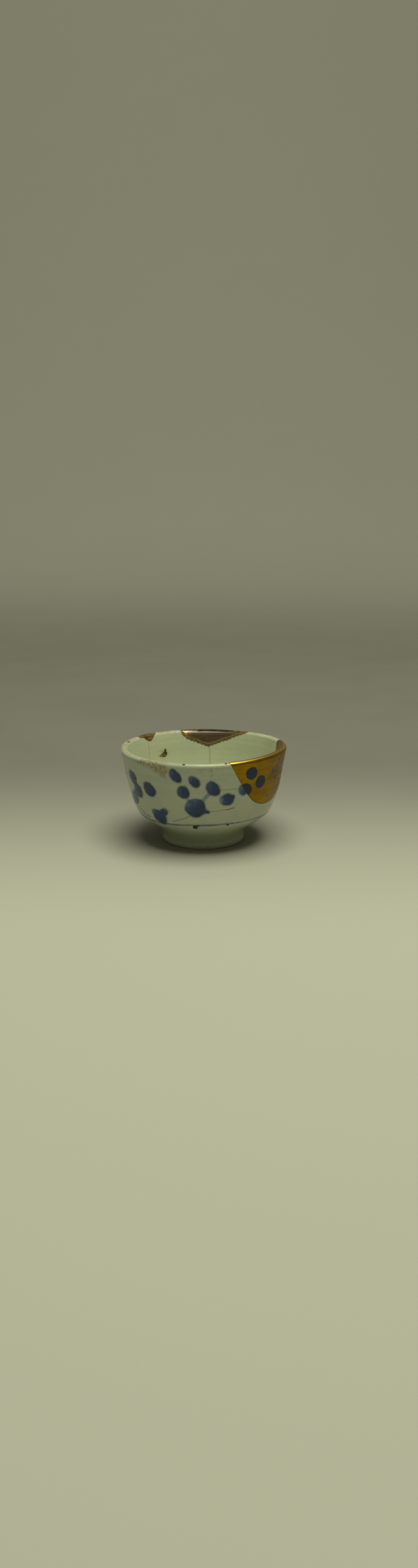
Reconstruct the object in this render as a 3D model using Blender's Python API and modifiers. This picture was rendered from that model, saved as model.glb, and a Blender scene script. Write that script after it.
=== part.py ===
"""A small porcelain sake cup, thrown by hand, broken at the lip and mended with gold and brown lacquer.

Metres, +Z up. The origin is on the table, under the middle of the cup. Angles go round the cup in degrees,
from 0 at -Y, growing towards +X.
"""
import math

import bmesh
import bpy
from mathutils import Vector
from mathutils.geometry import interpolate_bezier

# Outside of the cup
CUP_HEIGHT = 0.0379        # table to the top of the lip, before the lean
RIM_RADIUS = 0.0325        # outside of the lip
TURN_RADIUS = 0.0260       # where the wall turns in to the underside
TURN_HEIGHT = 0.0122
FOOT_RADIUS = 0.0162       # outside of the foot
FOOT_FLARE = 0.0002        # how much wider the foot is at its top
FOOT_HEIGHT = 0.0032       # where the foot starts to curve out to the underside
FOOT_ROUND = 0.0005        # worn outer edge of the standing ring

# Inside and underneath
LIP_THICKNESS = 0.0026
WALL_THICKNESS = 0.0020    # of the lower wall
WELL_RISE = 0.0078         # from the turn up to where the wall starts to curve in to the well
FLOOR_THICKNESS = 0.0064   # between the well and the recess under the foot
RING_WIDTH = 0.0026        # flat that the cup stands on
RECESS_DEPTH = 0.0035
RECESS_TAPER = 0.0006      # how much narrower the recess is at its top

# Slopes of the outside, in degrees above level, and the reach of each curve's handles as a share of its chord
LIP_SLOPE = 76.0
WALL_FOOT_SLOPE = 58.7     # of the wall just above the turn
UNDERSIDE_SLOPE = 50.5     # of the underside just below the turn
WALL_HANDLES = (0.29, 0.30)
UNDERSIDE_HANDLES = (0.26, 0.38)
WELL_HANDLES = (0.67, 0.36)

# What the potter's hand left
LIP_LEAN = 0.00067         # the lip is this much higher on one side, and lower opposite
LIP_LEAN_ANGLE = -17.0
LIP_WAVE = 0.0003          # and it rises and falls this much twice round
LIP_WAVE_ANGLE = 30.0
BELLY_SHIFT = 0.0007       # the lower wall sits this much to one side
BELLY_SHIFT_ANGLE = 90.0

# Breaks at the lip: (angle, depth inside, depth outside). A depth is a share of the wall's height above the turn,
# and one below 0 is clear of the lip.
GOLD_BREAK = (
    (-31.0, -0.05, -0.05), (-27.4, 0.06, 0.06), (-23.4, 0.21, 0.21), (-19.6, 0.345, 0.345),
    (-13.3, 0.535, 0.535), (-7.5, 0.65, 0.65), (0.0, 0.725, 0.725), (10.5, 0.755, 0.755), (19.0, 0.735, 0.735),
    (27.5, 0.68, 0.68), (36.5, 0.575, 0.575), (46.0, 0.41, 0.41), (53.0, 0.21, 0.21), (56.5, 0.02, 0.02),
    (58.0, -0.03, -0.03),
)
LONG_BREAK = (
    (95.0, -0.02, -0.02), (98.0, 0.02, 0.02), (108.0, 0.10, 0.02), (113.0, 0.155, 0.025), (115.5, 0.17, 0.055),
    (118.5, 0.19, 0.035), (122.0, 0.22, 0.07), (126.0, 0.25, 0.15), (129.5, 0.275, 0.18), (132.5, 0.255, 0.12),
    (136.0, 0.23, 0.06), (139.5, 0.20, 0.0), (146.0, 0.15, -0.02), (150.0, 0.08, -0.02), (152.5, -0.02, -0.02),
)
POINTED_BREAK = (
    (170.0, -0.02, -0.02), (173.5, 0.0, 0.02), (176.5, 0.045, 0.06), (178.7, 0.093, 0.14), (182.0, 0.103, 0.225),
    (185.3, 0.07, 0.27), (187.5, 0.02, 0.30), (189.6, -0.01, 0.32), (191.3, -0.02, 0.315), (192.3, -0.02, 0.18),
    (193.0, -0.02, -0.02),
)
GLUE_LINE = 0.0003         # between each fill and the porcelain round it

# Chips. Each is bitten out by a ball, from the outer side that its slope points to.
LIP_CHIP_ANGLE = -141.0
LIP_CHIP_BALL = 0.0022     # radius of the ball
LIP_CHIP_BITE = 0.0005     # how far it bites in
LIP_CHIP_SLOPE = 60.0
FOOT_CHIP_BALL = 0.0016
FOOT_CHIP_BITE = 0.0005
FOOT_CHIP_SLOPE = -30.0
FOOT_CHIPS = ((-40.0, 1.0), (-13.0, 0.75), (131.6, 1.15))  # angle, and size as a share of the first one

# Fineness of the solids
TURNING_STEPS = 72
BREAK_STEP = 3.0           # degrees between the sections of a break
WALL_STEPS = 9
UNDERSIDE_STEPS = 7
WELL_STEPS = 9
LIP_STEPS = 7
FOOT_STEPS = 3
SHARP_ANGLE = 40.0         # degrees between faces that are shaded apart

# Colour, roughness and metallic value of each material
GLAZE = ((0.62, 0.66, 0.60, 1.0), 0.12, 0.0)
GOLD = ((0.62, 0.45, 0.20, 1.0), 0.38, 0.9)
BROWN_LACQUER = ((0.09, 0.045, 0.02, 1.0), 0.30, 0.0)

MODEL_NAME = "kintsugi_sake_cup"


def clear_scene():
    for thing in list(bpy.data.objects):
        bpy.data.objects.remove(thing, do_unlink=True)


def make_collection(name):
    collection = bpy.data.collections.new(name)
    bpy.context.scene.collection.children.link(collection)
    return collection


def make_material(name, look):
    colour, roughness, metallic = look
    material = bpy.data.materials.new(name)
    material.use_nodes = True
    shader = material.node_tree.nodes["Principled BSDF"]
    shader.inputs["Base Color"].default_value = colour
    shader.inputs["Roughness"].default_value = roughness
    shader.inputs["Metallic"].default_value = metallic
    material.diffuse_color = colour
    return material


def slope(degrees):
    """Unit step, as (radius, height), along a line that rises at this slope."""
    return Vector((math.cos(math.radians(degrees)), math.sin(math.radians(degrees))))


def curve(start, start_slope, end, end_slope, handles, steps):
    """Points from start to end on one curve that leaves and arrives at the given slopes."""
    chord = (end - start).length
    return interpolate_bezier(
        start,
        start + slope(start_slope) * chord * handles[0],
        end - slope(end_slope) * chord * handles[1],
        end,
        steps + 1,
    )


def arc(centre, radius, first, last, steps):
    """Points of an arc from one angle to another, in degrees."""
    return [centre + slope(first + (last - first) * i / steps) * radius for i in range(steps + 1)]


def lip_centre():
    half = LIP_THICKNESS / 2
    return Vector((RIM_RADIUS - half, CUP_HEIGHT - half))


def outer_wall():
    """The outside of the wall, from the turn up to the lip."""
    top = lip_centre() + slope(LIP_SLOPE - 90) * LIP_THICKNESS / 2
    turn = Vector((TURN_RADIUS, TURN_HEIGHT))
    return curve(turn, WALL_FOOT_SLOPE, top, LIP_SLOPE, WALL_HANDLES, WALL_STEPS)


def ease(share):
    share = min(max(share, 0.0), 1.0)
    return share * share * (3 - 2 * share)


def inner_wall():
    """The inside of the wall, from the top of the well up to the lip: the outside, moved in by the wall."""
    outer = outer_wall()
    well_top = TURN_HEIGHT + WELL_RISE
    points = []
    for here, after in zip(outer, outer[1:]):
        share = (here.y - well_top) / (outer[-1].y - well_top)
        if share < 0:
            continue
        along = (after - here).normalized()
        thickness = WALL_THICKNESS + (LIP_THICKNESS - WALL_THICKNESS) * ease(share)
        points.append(here + Vector((-along.y, along.x)) * thickness)
    return points


def well(wall_start, wall_next):
    """The floor of the well and its curve up to the wall."""
    along = wall_next - wall_start
    rise = math.degrees(math.atan2(along.y, along.x))
    centre = Vector((0.0, RECESS_DEPTH + FLOOR_THICKNESS))
    return curve(centre, 0.0, wall_start, rise, WELL_HANDLES, WELL_STEPS)


def foot():
    """The foot from its top down, the ring it stands on and the recess inside the ring, to the middle."""
    round_centre = Vector((FOOT_RADIUS - FOOT_ROUND, FOOT_ROUND))
    ring_inner = round_centre.x - RING_WIDTH
    return [
        *arc(round_centre, FOOT_ROUND, 0, -90, FOOT_STEPS),
        Vector((ring_inner, 0.0)),
        Vector((ring_inner - RECESS_TAPER / 2, RECESS_DEPTH * 0.45)),
        Vector((ring_inner - RECESS_TAPER, RECESS_DEPTH * 0.86)),
        Vector((ring_inner * 0.86, RECESS_DEPTH)),
        Vector((0.0, RECESS_DEPTH)),
    ]


def underside():
    """From the foot's top out to the turn."""
    start = Vector((FOOT_RADIUS + FOOT_FLARE, FOOT_HEIGHT))
    turn = Vector((TURN_RADIUS, TURN_HEIGHT))
    return curve(start, 90.0, turn, UNDERSIDE_SLOPE, UNDERSIDE_HANDLES, UNDERSIDE_STEPS)


def cup_profile():
    """Half section of the whole cup: from the middle of the well, over the lip, to the middle of the recess."""
    inside = inner_wall()
    lip = arc(lip_centre(), LIP_THICKNESS / 2, LIP_SLOPE + 90, LIP_SLOPE - 90, LIP_STEPS)
    outside = outer_wall()[:-1]
    below = underside()[:-1]
    return [
        *well(inside[0], inside[1])[:-1],
        *inside,
        *lip,
        *reversed(outside),
        *reversed(below),
        *foot(),
    ]


def radius_at(points, height):
    """Radius of a rising line of points at a height."""
    for low, high in zip(points, points[1:]):
        if height <= high.y:
            share = (height - low.y) / (high.y - low.y)
            return low.lerp(high, max(share, 0.0)).x
    return points[-1].x


def by_hand(point):
    """Moves a point of the true round cup to where the potter's hand left it."""
    angle = math.atan2(point.x, -point.y)
    rise = point.z / CUP_HEIGHT
    lean = LIP_LEAN * math.cos(angle - math.radians(LIP_LEAN_ANGLE))
    wave = LIP_WAVE * math.cos(2 * (angle - math.radians(LIP_WAVE_ANGLE)))
    belly = BELLY_SHIFT * math.sin(math.pi * min(max(rise, 0.0), 1.0)) ** 2
    side = math.radians(BELLY_SHIFT_ANGLE)
    shift = Vector((math.sin(side), -math.cos(side), 0.0)) * belly
    return point + shift + Vector((0.0, 0.0, (lean + wave) * rise))


def object_from_bmesh(name, form, collection, material=None):
    mesh = bpy.data.meshes.new(name)
    form.to_mesh(mesh)
    form.free()
    thing = bpy.data.objects.new(name, mesh)
    collection.objects.link(thing)
    if material:
        mesh.materials.append(material)
    return thing


def turned_body(collection):
    """The whole cup as it was before it broke: its half section, turned and then leaned by hand."""
    form = bmesh.new()
    previous = None
    for point in cup_profile():
        vertex = form.verts.new((point.x, 0.0, point.y))
        if previous:
            form.edges.new((previous, vertex))
        previous = vertex
    profile = object_from_bmesh("cup_profile", form, collection)
    screw = profile.modifiers.new("turning", "SCREW")
    screw.axis = "Z"
    screw.steps = TURNING_STEPS
    screw.render_steps = TURNING_STEPS
    screw.use_merge_vertices = True
    screw.merge_threshold = 0.00001
    bpy.context.view_layer.update()
    turned = profile.evaluated_get(bpy.context.evaluated_depsgraph_get())
    mesh = bpy.data.meshes.new_from_object(turned)
    bpy.data.objects.remove(profile, do_unlink=True)
    for vertex in mesh.vertices:
        vertex.co = by_hand(vertex.co)
    mesh.name = "whole_cup"
    return mesh


def smooth_line(points, x):
    """Height at x of a smooth line through (x, y) points, level beyond its ends."""
    if not points[0][0] < x < points[-1][0]:
        return points[0][1] if x <= points[0][0] else points[-1][1]
    last = len(points) - 1
    i = max(n for n in range(last) if points[n][0] <= x)
    (x0, y0), (x1, y1) = points[i], points[i + 1]
    before, after = points[max(i - 1, 0)], points[min(i + 2, last)]
    leaving = (y1 - before[1]) / (x1 - before[0]) * (x1 - x0)
    arriving = (after[1] - y0) / (after[0] - x0) * (x1 - x0)
    t = (x - x0) / (x1 - x0)
    bend = (leaving + arriving - 2 * (y1 - y0)) * t + 3 * (y1 - y0) - 2 * leaving - arriving
    return y0 + t * (leaving + t * bend)


def depth_at(edge, side, angle):
    """Depth of a break's edge at an angle, on one side of the wall: 1 is inside, 2 outside."""
    points = [(point[0], point[side]) for point in edge]
    return (CUP_HEIGHT - TURN_HEIGHT) * smooth_line(points, angle)


def inset_depth(edge, side, angle, inset):
    """The same, with the edge moved in towards the middle of the break by inset."""
    if not inset:
        return depth_at(edge, side, angle)
    depths = []
    for turn in range(-90, 91, 15):
        across = math.degrees(inset * math.sin(math.radians(turn)) / RIM_RADIUS)
        depths.append(depth_at(edge, side, angle + across) - inset * math.cos(math.radians(turn)))
    return min(depths)


def break_angles(edge):
    """Angles of a break's sections: each of its own points, and enough between them."""
    angles = [edge[0][0]]
    for low, high in zip(edge, edge[1:]):
        count = math.ceil((high[0] - low[0]) / BREAK_STEP)
        angles += [low[0] + (high[0] - low[0]) * (i + 1) / count for i in range(count)]
    return angles


def break_block(name, edge, inset, collection):
    """A block that covers a break through the wall, as sections that stand side by side round the lip."""
    inside, outside = inner_wall(), outer_wall()
    inner_limit = inside[0].x - 2 * WALL_THICKNESS
    outer_limit = RIM_RADIUS + LIP_THICKNESS
    top = CUP_HEIGHT + LIP_THICKNESS
    form = bmesh.new()
    sections = []
    for angle in break_angles(edge):
        low_inside = CUP_HEIGHT - inset_depth(edge, 1, angle, inset)
        low_outside = CUP_HEIGHT - inset_depth(edge, 2, angle, inset)
        inner_face = radius_at(inside, low_inside)
        outer_face = radius_at(outside, low_outside)
        section = [
            (inner_limit, low_inside), (inner_face, low_inside), (outer_face, low_outside),
            (outer_limit, low_outside), (outer_limit, top), (inner_limit, top),
        ]
        turn = math.radians(angle)
        places = [Vector((r * math.sin(turn), -r * math.cos(turn), z)) for r, z in section]
        sections.append([form.verts.new(by_hand(place)) for place in places])
    form.faces.new(sections[0])
    form.faces.new(sections[-1])
    for here, after in zip(sections, sections[1:]):
        for i in range(len(here)):
            j = (i + 1) % len(here)
            form.faces.new((here[i], here[j], after[j], after[i]))
    bmesh.ops.triangulate(form, faces=form.faces)
    bmesh.ops.recalc_face_normals(form, faces=form.faces)
    return hidden(object_from_bmesh(name, form, collection))


def chip_ball(name, angle, edge, direction, size, bite, collection):
    """A ball that bites a chip out of the edge at (radius, height), from the side that direction points to."""
    centre = Vector(edge) + slope(direction) * (size - bite)
    turn = math.radians(angle)
    form = bmesh.new()
    bmesh.ops.create_icosphere(form, subdivisions=2, radius=size)
    place = by_hand(Vector((centre.x * math.sin(turn), -centre.x * math.cos(turn), centre.y)))
    bmesh.ops.translate(form, verts=form.verts, vec=place)
    return hidden(object_from_bmesh(name, form, collection))


def hidden(cutter):
    cutter.hide_render = True
    cutter.display_type = "WIRE"
    return cutter


def boolean(thing, operation, cutter):
    modifier = thing.modifiers.new(cutter.name, "BOOLEAN")
    modifier.operation = operation
    modifier.solver = "EXACT"
    modifier.object = cutter


def place_piece(name, mesh, material, collection):
    """One piece of the mended cup, before it is cut from the whole form."""
    own_mesh = mesh.copy()
    own_mesh.name = name
    own_mesh.materials.append(material)
    own_mesh.shade_smooth()
    own_mesh.set_sharp_from_angle(angle=math.radians(SHARP_ANGLE))
    piece = bpy.data.objects.new(name, own_mesh)
    collection.objects.link(piece)
    return piece


def main():
    clear_scene()
    model = make_collection(MODEL_NAME)
    cutters = make_collection("cutters")
    whole_cup = turned_body(cutters)

    glaze = make_material("glazed_porcelain", GLAZE)
    gold = make_material("gold_lacquer", GOLD)
    brown = make_material("brown_lacquer", BROWN_LACQUER)

    cup = place_piece("porcelain_cup", whole_cup, glaze, model)
    fills = (
        ("gold_lacquer_fill", GOLD_BREAK, gold),
        ("long_rim_fill", LONG_BREAK, brown),
        ("pointed_rim_fill", POINTED_BREAK, brown),
    )
    for name, edge, material in fills:
        boolean(cup, "DIFFERENCE", break_block(name + "_loss", edge, 0.0, cutters))
        fill = place_piece(name, whole_cup, material, model)
        boolean(fill, "INTERSECT", break_block(name + "_form", edge, GLUE_LINE, cutters))

    lip_edge = (RIM_RADIUS - LIP_THICKNESS / 2, CUP_HEIGHT)
    ball, bite = LIP_CHIP_BALL, LIP_CHIP_BITE
    lip_chip = chip_ball("lip_chip", LIP_CHIP_ANGLE, lip_edge, LIP_CHIP_SLOPE, ball, bite, cutters)
    boolean(cup, "DIFFERENCE", lip_chip)
    foot_edge = (FOOT_RADIUS, FOOT_ROUND)
    for number, (angle, share) in enumerate(FOOT_CHIPS):
        ball, bite = FOOT_CHIP_BALL * share, FOOT_CHIP_BITE * share
        foot_chip = chip_ball(f"foot_chip_{number}", angle, foot_edge, FOOT_CHIP_SLOPE, ball, bite, cutters)
        boolean(cup, "DIFFERENCE", foot_chip)
    bpy.data.meshes.remove(whole_cup)


main()
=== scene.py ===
import math

import bmesh
import bpy
import numpy as np
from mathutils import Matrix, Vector
from mathutils.geometry import interpolate_bezier


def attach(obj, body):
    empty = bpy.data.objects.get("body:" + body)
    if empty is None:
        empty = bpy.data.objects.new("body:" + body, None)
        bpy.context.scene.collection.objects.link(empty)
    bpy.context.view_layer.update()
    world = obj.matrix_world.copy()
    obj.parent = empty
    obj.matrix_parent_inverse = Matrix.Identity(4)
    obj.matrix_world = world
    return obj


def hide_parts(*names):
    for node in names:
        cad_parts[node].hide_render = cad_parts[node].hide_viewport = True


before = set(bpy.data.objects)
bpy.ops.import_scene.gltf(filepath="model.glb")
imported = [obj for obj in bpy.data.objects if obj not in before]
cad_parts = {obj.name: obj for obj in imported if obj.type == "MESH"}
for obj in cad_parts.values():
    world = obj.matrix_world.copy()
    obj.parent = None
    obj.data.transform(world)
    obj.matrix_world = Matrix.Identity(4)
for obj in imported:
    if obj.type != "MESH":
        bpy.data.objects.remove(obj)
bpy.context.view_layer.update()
print("packed cup loaded")

# Everything on the cup is in millimetres and degrees. Angles go round it from 0 at -Y, growing towards +X,
# and heights are above the table. Metres come in only when a mesh is made.
metre = 1000.0

cupShape = {
    "height": 37.9,
    "rimRadius": 32.5,
    "turnRadius": 26.0,  # where the wall turns in to the underside
    "turnHeight": 12.2,
    "footRadius": 16.2,
    "footFlare": 0.2,
    "footHeight": 3.2,
    "footRound": 0.5,
    "lipThickness": 2.6,
    "wallThickness": 2.0,
    "wellRise": 7.8,
    "floorThickness": 6.4,
    "ringWidth": 2.6,
    "recessDepth": 3.5,
    "recessTaper": 0.6,
    "lipSlope": 76.0,
    "wallFootSlope": 58.7,
    "undersideSlope": 50.5,
    "wallHandles": (0.29, 0.30),
    "undersideHandles": (0.26, 0.38),
    "wellHandles": (0.67, 0.36),
    "frameSteps": 9,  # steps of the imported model's wall, which fix where its well begins
    "lean": (0.67, -17.0),  # the lip is this much higher towards this angle
    "wave": (0.30, 30.0),  # and rises and falls this much twice round
    "bellyShift": 0.3,  # the lower wall sits this much towards 90 degrees
    "oval": (0.22, 22.0),  # and is this much wider towards this angle
}

# Rings left by the fingers: height, turns of phase round the cup, size
ripples = {
    "rings": ((2.30, 1.0, 0.022), (1.15, 2.0, 0.010), (5.2, 1.0, 0.030)),
    "outOfRound": ((3, 0.5, 0.045), (5, 2.1, 0.020)),
    "insideShare": 0.3,  # the inside was wiped smoother
    "lipWear": (0.045, 1.3),  # depth, and reach to either side of the lip's top
}


def stepAlong(degrees):
    return np.array([math.cos(math.radians(degrees)), math.sin(math.radians(degrees))])


def bezierLine(start, startSlope, end, endSlope, handles, steps):
    start, end = np.array(start, float), np.array(end, float)
    chord = np.linalg.norm(end - start)
    first = start + stepAlong(startSlope) * chord * handles[0]
    second = end - stepAlong(endSlope) * chord * handles[1]
    corners = [Vector(p) for p in (start, first, second, end)]
    return np.array([tuple(p) for p in interpolate_bezier(*corners, steps + 1)])


def arcLine(centre, radius, first, last, steps):
    return np.array([centre + stepAlong(a) * radius for a in np.linspace(first, last, steps + 1)])


def outerWallLine(steps):
    half = cupShape["lipThickness"] / 2
    centre = np.array([cupShape["rimRadius"] - half, cupShape["height"] - half])
    turn = (cupShape["turnRadius"], cupShape["turnHeight"])
    top = centre + stepAlong(cupShape["lipSlope"] - 90) * half
    lowSlope, highSlope = cupShape["wallFootSlope"], cupShape["lipSlope"]
    return bezierLine(turn, lowSlope, top, highSlope, cupShape["wallHandles"], steps)


def innerWallLine(steps):
    outer = outerWallLine(steps)
    wellTop = cupShape["turnHeight"] + cupShape["wellRise"]
    share = (outer[:-1, 1] - wellTop) / (outer[-1, 1] - wellTop)
    along = np.diff(outer, axis=0)
    along /= np.linalg.norm(along, axis=1)[:, None]
    eased = np.clip(share, 0, 1) ** 2 * (3 - 2 * np.clip(share, 0, 1))
    thick = cupShape["wallThickness"] + (cupShape["lipThickness"] - cupShape["wallThickness"]) * eased
    inner = outer[:-1] + np.stack([-along[:, 1], along[:, 0]], 1) * thick[:, None]
    return inner[share >= 0]


def upperSection():
    # one line from the middle of the well, up the inside, over the lip and down to the turn
    coarse = innerWallLine(cupShape["frameSteps"])
    fine = innerWallLine(180)
    start = coarse[0]
    rise = math.degrees(math.atan2(*(coarse[1] - coarse[0])[::-1]))
    centre = (0.0, cupShape["recessDepth"] + cupShape["floorThickness"])
    well = bezierLine(centre, 0.0, start, rise, cupShape["wellHandles"], 220)
    half = cupShape["lipThickness"] / 2
    lipCentre = np.array([cupShape["rimRadius"] - half, cupShape["height"] - half])
    lip = arcLine(lipCentre, half, cupShape["lipSlope"] + 90, cupShape["lipSlope"] - 90, 60)
    outer = outerWallLine(300)
    line = np.vstack([well, fine[fine[:, 1] > start[1] + 0.05], lip, outer[-2::-1]])
    length = np.concatenate([[0], np.cumsum(np.linalg.norm(np.diff(line, axis=0), axis=1))])
    even = np.linspace(0, length[-1], 1400)
    line = np.stack([np.interp(even, length, line[:, i]) for i in (0, 1)], 1)
    along = np.gradient(line, axis=0)
    along /= np.linalg.norm(along, axis=1)[:, None]
    return {"at": even, "line": line, "normal": np.stack([-along[:, 1], along[:, 0]], 1),
            "inner": fine, "outer": outer}


def lowerSection():
    # from the turn in to the foot, round the standing ring and up to the middle of the recess
    turn = (cupShape["turnRadius"], cupShape["turnHeight"])
    start = (cupShape["footRadius"] + cupShape["footFlare"], cupShape["footHeight"])
    slope, handles = cupShape["undersideSlope"], cupShape["undersideHandles"]
    under = bezierLine(start, 90.0, turn, slope, handles, 15)[::-1]
    worn = cupShape["footRound"]
    roundCentre = np.array([cupShape["footRadius"] - worn, worn])
    ringInner = roundCentre[0] - cupShape["ringWidth"]
    depth, taper = cupShape["recessDepth"], cupShape["recessTaper"]
    return np.vstack([
        under[1:],
        [[cupShape["footRadius"] + 0.13, 2.1], [cupShape["footRadius"] + 0.04, 1.2]],
        arcLine(roundCentre, worn, 0, -90, 5),
        [[ringInner + 1.2, 0.0], [ringInner + 0.25, 0.02], [ringInner, 0.22]],
        [[ringInner - taper / 2, depth * 0.45], [ringInner - taper * 0.95, depth * 0.8]],
        [[ringInner - taper - 0.5, depth * 0.955], [ringInner * 0.84, depth], [ringInner * 0.5, depth]],
        [[ringInner * 0.2, depth], [0.0, depth]],
    ])


section = upperSection()
lipTop = section["at"][np.argmax(section["line"][:, 1])]


def sectionAt(position):
    # radius and height at a distance along the upper section, and which way the surface faces there
    found = [np.interp(position, section["at"], section["line"][:, i]) for i in (0, 1)]
    facing = [np.interp(position, section["at"], section["normal"][:, i]) for i in (0, 1)]
    return found[0], found[1], facing[0], facing[1]


def positionAt(height, outside):
    heights = section["line"][:, 1]
    here = section["at"] > lipTop
    if outside:
        return float(np.interp(-height, -heights[here], section["at"][here]))
    return float(np.interp(height, heights[~here], section["at"][~here]))


def ripple(angle, height):
    # how far the finger rings push the wall outwards
    turn = np.radians(angle)
    size = np.zeros(np.broadcast(angle, height).shape)
    for pitch, phase, amount in ripples["rings"]:
        size = size + amount * np.sin(2 * np.pi * height / pitch + phase * np.sin(turn * phase + pitch))
    for count, phase, amount in ripples["outOfRound"]:
        size = size + amount * np.sin(count * turn + phase) * np.clip(height / 30, 0, 1)
    return size


def smoothInside(position):
    return np.interp(position - lipTop, (-6.0, 0.0), (ripples["insideShare"], 1.0))


def lipWear(angle, position):
    # how much is rubbed off the lip, more in some places than in others
    turn = np.radians(angle)
    rough = np.sin(37 * turn + 2 * np.sin(11 * turn)) + 0.7 * np.sin(83 * turn + 1.1)
    rough = rough + 0.5 * np.sin(151 * turn)
    patchy = 0.35 + 0.65 * np.clip(0.5 + np.sin(4 * turn + 1.8) + 0.5 * np.sin(9 * turn), 0, 1)
    depth, reach = ripples["lipWear"]
    near = np.exp(-((position - lipTop) / reach) ** 2)
    return depth * near * patchy * np.clip(rough, -0.5, 2.2)


def byHand(angle, radius, height):
    # moves a point of the true round cup to where the potter's hand left it
    turn = np.radians(angle)
    rise = height / cupShape["height"]
    lean = cupShape["lean"][0] * np.cos(turn - math.radians(cupShape["lean"][1]))
    wave = cupShape["wave"][0] * np.cos(2 * (turn - math.radians(cupShape["wave"][1])))
    middle = np.sin(np.pi * np.clip(rise, 0, 1)) ** 2
    belly = cupShape["bellyShift"] * middle
    wide, widest = cupShape["oval"]
    across = radius + wide * middle * np.clip(radius / 20, 0, 1) * np.cos(2 * (turn - math.radians(widest)))
    x, y = across * np.sin(turn) + belly, -across * np.cos(turn)
    return np.stack([x, y, height + (lean + wave) * rise], -1)


# Breaks at the lip: angle, then how far down the break goes inside and outside, as shares of the wall's
# height above the turn. The ragged size is that of small steps along the edge.
breaks = {
    "gold_lacquer_fill": {
        "edge": (
            (-31, -.05, -.05), (-27.4, .06, .06), (-23.4, .21, .21), (-19.6, .345, .345), (-13.3, .535, .535),
            (-7.5, .65, .65), (0, .725, .725), (10.5, .755, .755), (19, .735, .735), (27.5, .68, .68),
            (36.5, .575, .575), (46, .41, .41), (53, .21, .21), (56.5, .02, .02), (58, -.03, -.03)),
        "ragged": 0.02,
    },
    "long_rim_fill": {
        "edge": (
            (95, -.02, -.02), (98, .02, .02), (108, .10, .02), (113, .155, .025), (115.5, .17, .055),
            (118.5, .19, .035), (122, .22, .07), (126, .25, .15), (129.5, .275, .18), (132.5, .255, .12),
            (136, .23, .06), (139.5, .20, 0), (146, .15, -.02), (150, .08, -.02), (152.5, -.02, -.02)),
        "ragged": 0.16,
    },
    "pointed_rim_fill": {
        "edge": (
            (170, -.02, -.02), (173.5, 0, .02), (176.5, .045, .06), (178.7, .093, .14), (182, .103, .225),
            (185.3, .07, .27), (187.5, .02, .30), (189.6, -.01, .32), (191.3, -.02, .315), (192.3, -.02, .18),
            (193, -.02, -.02)),
        "ragged": 0.09,
    },
}
seam = {"gap": 0.07}  # the dark line between each fill and the porcelain


def smoothLine(xs, ys, at):
    # a smooth line through the points, read off at these places
    at = np.clip(at, xs[0], xs[-1])
    i = np.clip(np.searchsorted(xs, at, side="right") - 1, 0, len(xs) - 2)
    before, after = np.maximum(i - 1, 0), np.minimum(i + 2, len(xs) - 1)
    x0, x1, y0, y1 = xs[i], xs[i + 1], ys[i], ys[i + 1]
    leaving = (y1 - ys[before]) / (x1 - xs[before]) * (x1 - x0)
    arriving = (ys[after] - y0) / (xs[after] - x0) * (x1 - x0)
    t = (at - x0) / (x1 - x0)
    bend = (leaving + arriving - 2 * (y1 - y0)) * t + 3 * (y1 - y0) - 2 * leaving - arriving
    return y0 + t * (leaving + t * bend)


def breakDepths(name, angle):
    # how far below the lip the break goes, inside and outside
    edge = np.array(breaks[name]["edge"])
    full = cupShape["height"] - cupShape["turnHeight"]
    depths = []
    for side in (1, 2):
        depth = full * smoothLine(edge[:, 0], edge[:, side], angle)
        steps = np.sin(angle * 2.1 + side) + 0.6 * np.sin(angle * 4.7 + 2 * side)
        steps = steps + 0.4 * np.sin(angle * 9.3)
        depths.append(depth + breaks[name]["ragged"] * steps * np.clip(depth / 2, 0, 1))
    return depths


def cutPositions(name, angle, gap):
    # where the edge crosses the section, inside and outside, and whether the break is open at each angle
    angle = np.atleast_1d(np.asarray(angle, float))
    inner, outer = None, None
    for turn in np.radians(np.arange(-90, 91, 15)):
        across = math.degrees(gap * math.sin(turn) / cupShape["rimRadius"])
        found = [d - gap * math.cos(turn) for d in breakDepths(name, angle + across)]
        inner = found[0] if inner is None else np.minimum(inner, found[0])
        outer = found[1] if outer is None else np.minimum(outer, found[1])
    lowIn, lowOut = cupShape["height"] - inner, cupShape["height"] - outer
    faceIn = np.interp(lowIn, section["inner"][:, 1], section["inner"][:, 0])
    faceOut = np.interp(lowOut, section["outer"][:, 1], section["outer"][:, 0])
    radius, height = section["line"][:, 0], section["line"][:, 1]
    share = np.clip((radius[None] - faceIn[:, None]) / (faceOut - faceIn)[:, None], 0, 1)
    above = height[None] - (lowIn[:, None] + (lowOut - lowIn)[:, None] * share)
    first = np.argmax(above > 0, axis=1)
    last = above.shape[1] - 1 - np.argmax(above[:, ::-1] > 0, axis=1)
    rows = np.arange(len(angle))
    positions = []
    beyondLast = np.minimum(last + 1, above.shape[1] - 1)
    for here, beyond in ((first, np.maximum(first - 1, 0)), (last, beyondLast)):
        high, low = above[rows, here], above[rows, beyond]
        part = np.where(high > low, high / np.maximum(high - low, 1e-9), 0)
        gone = (section["at"][beyond] - section["at"][here]) * np.clip(part, 0, 1)
        positions.append(section["at"][here] + gone)
    peak = np.argmax(above, axis=1)
    isOpen = above[rows, peak] > 0
    touch = section["at"][peak]
    return np.where(isOpen, positions[0], touch), np.where(isOpen, positions[1], touch), isOpen


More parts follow.
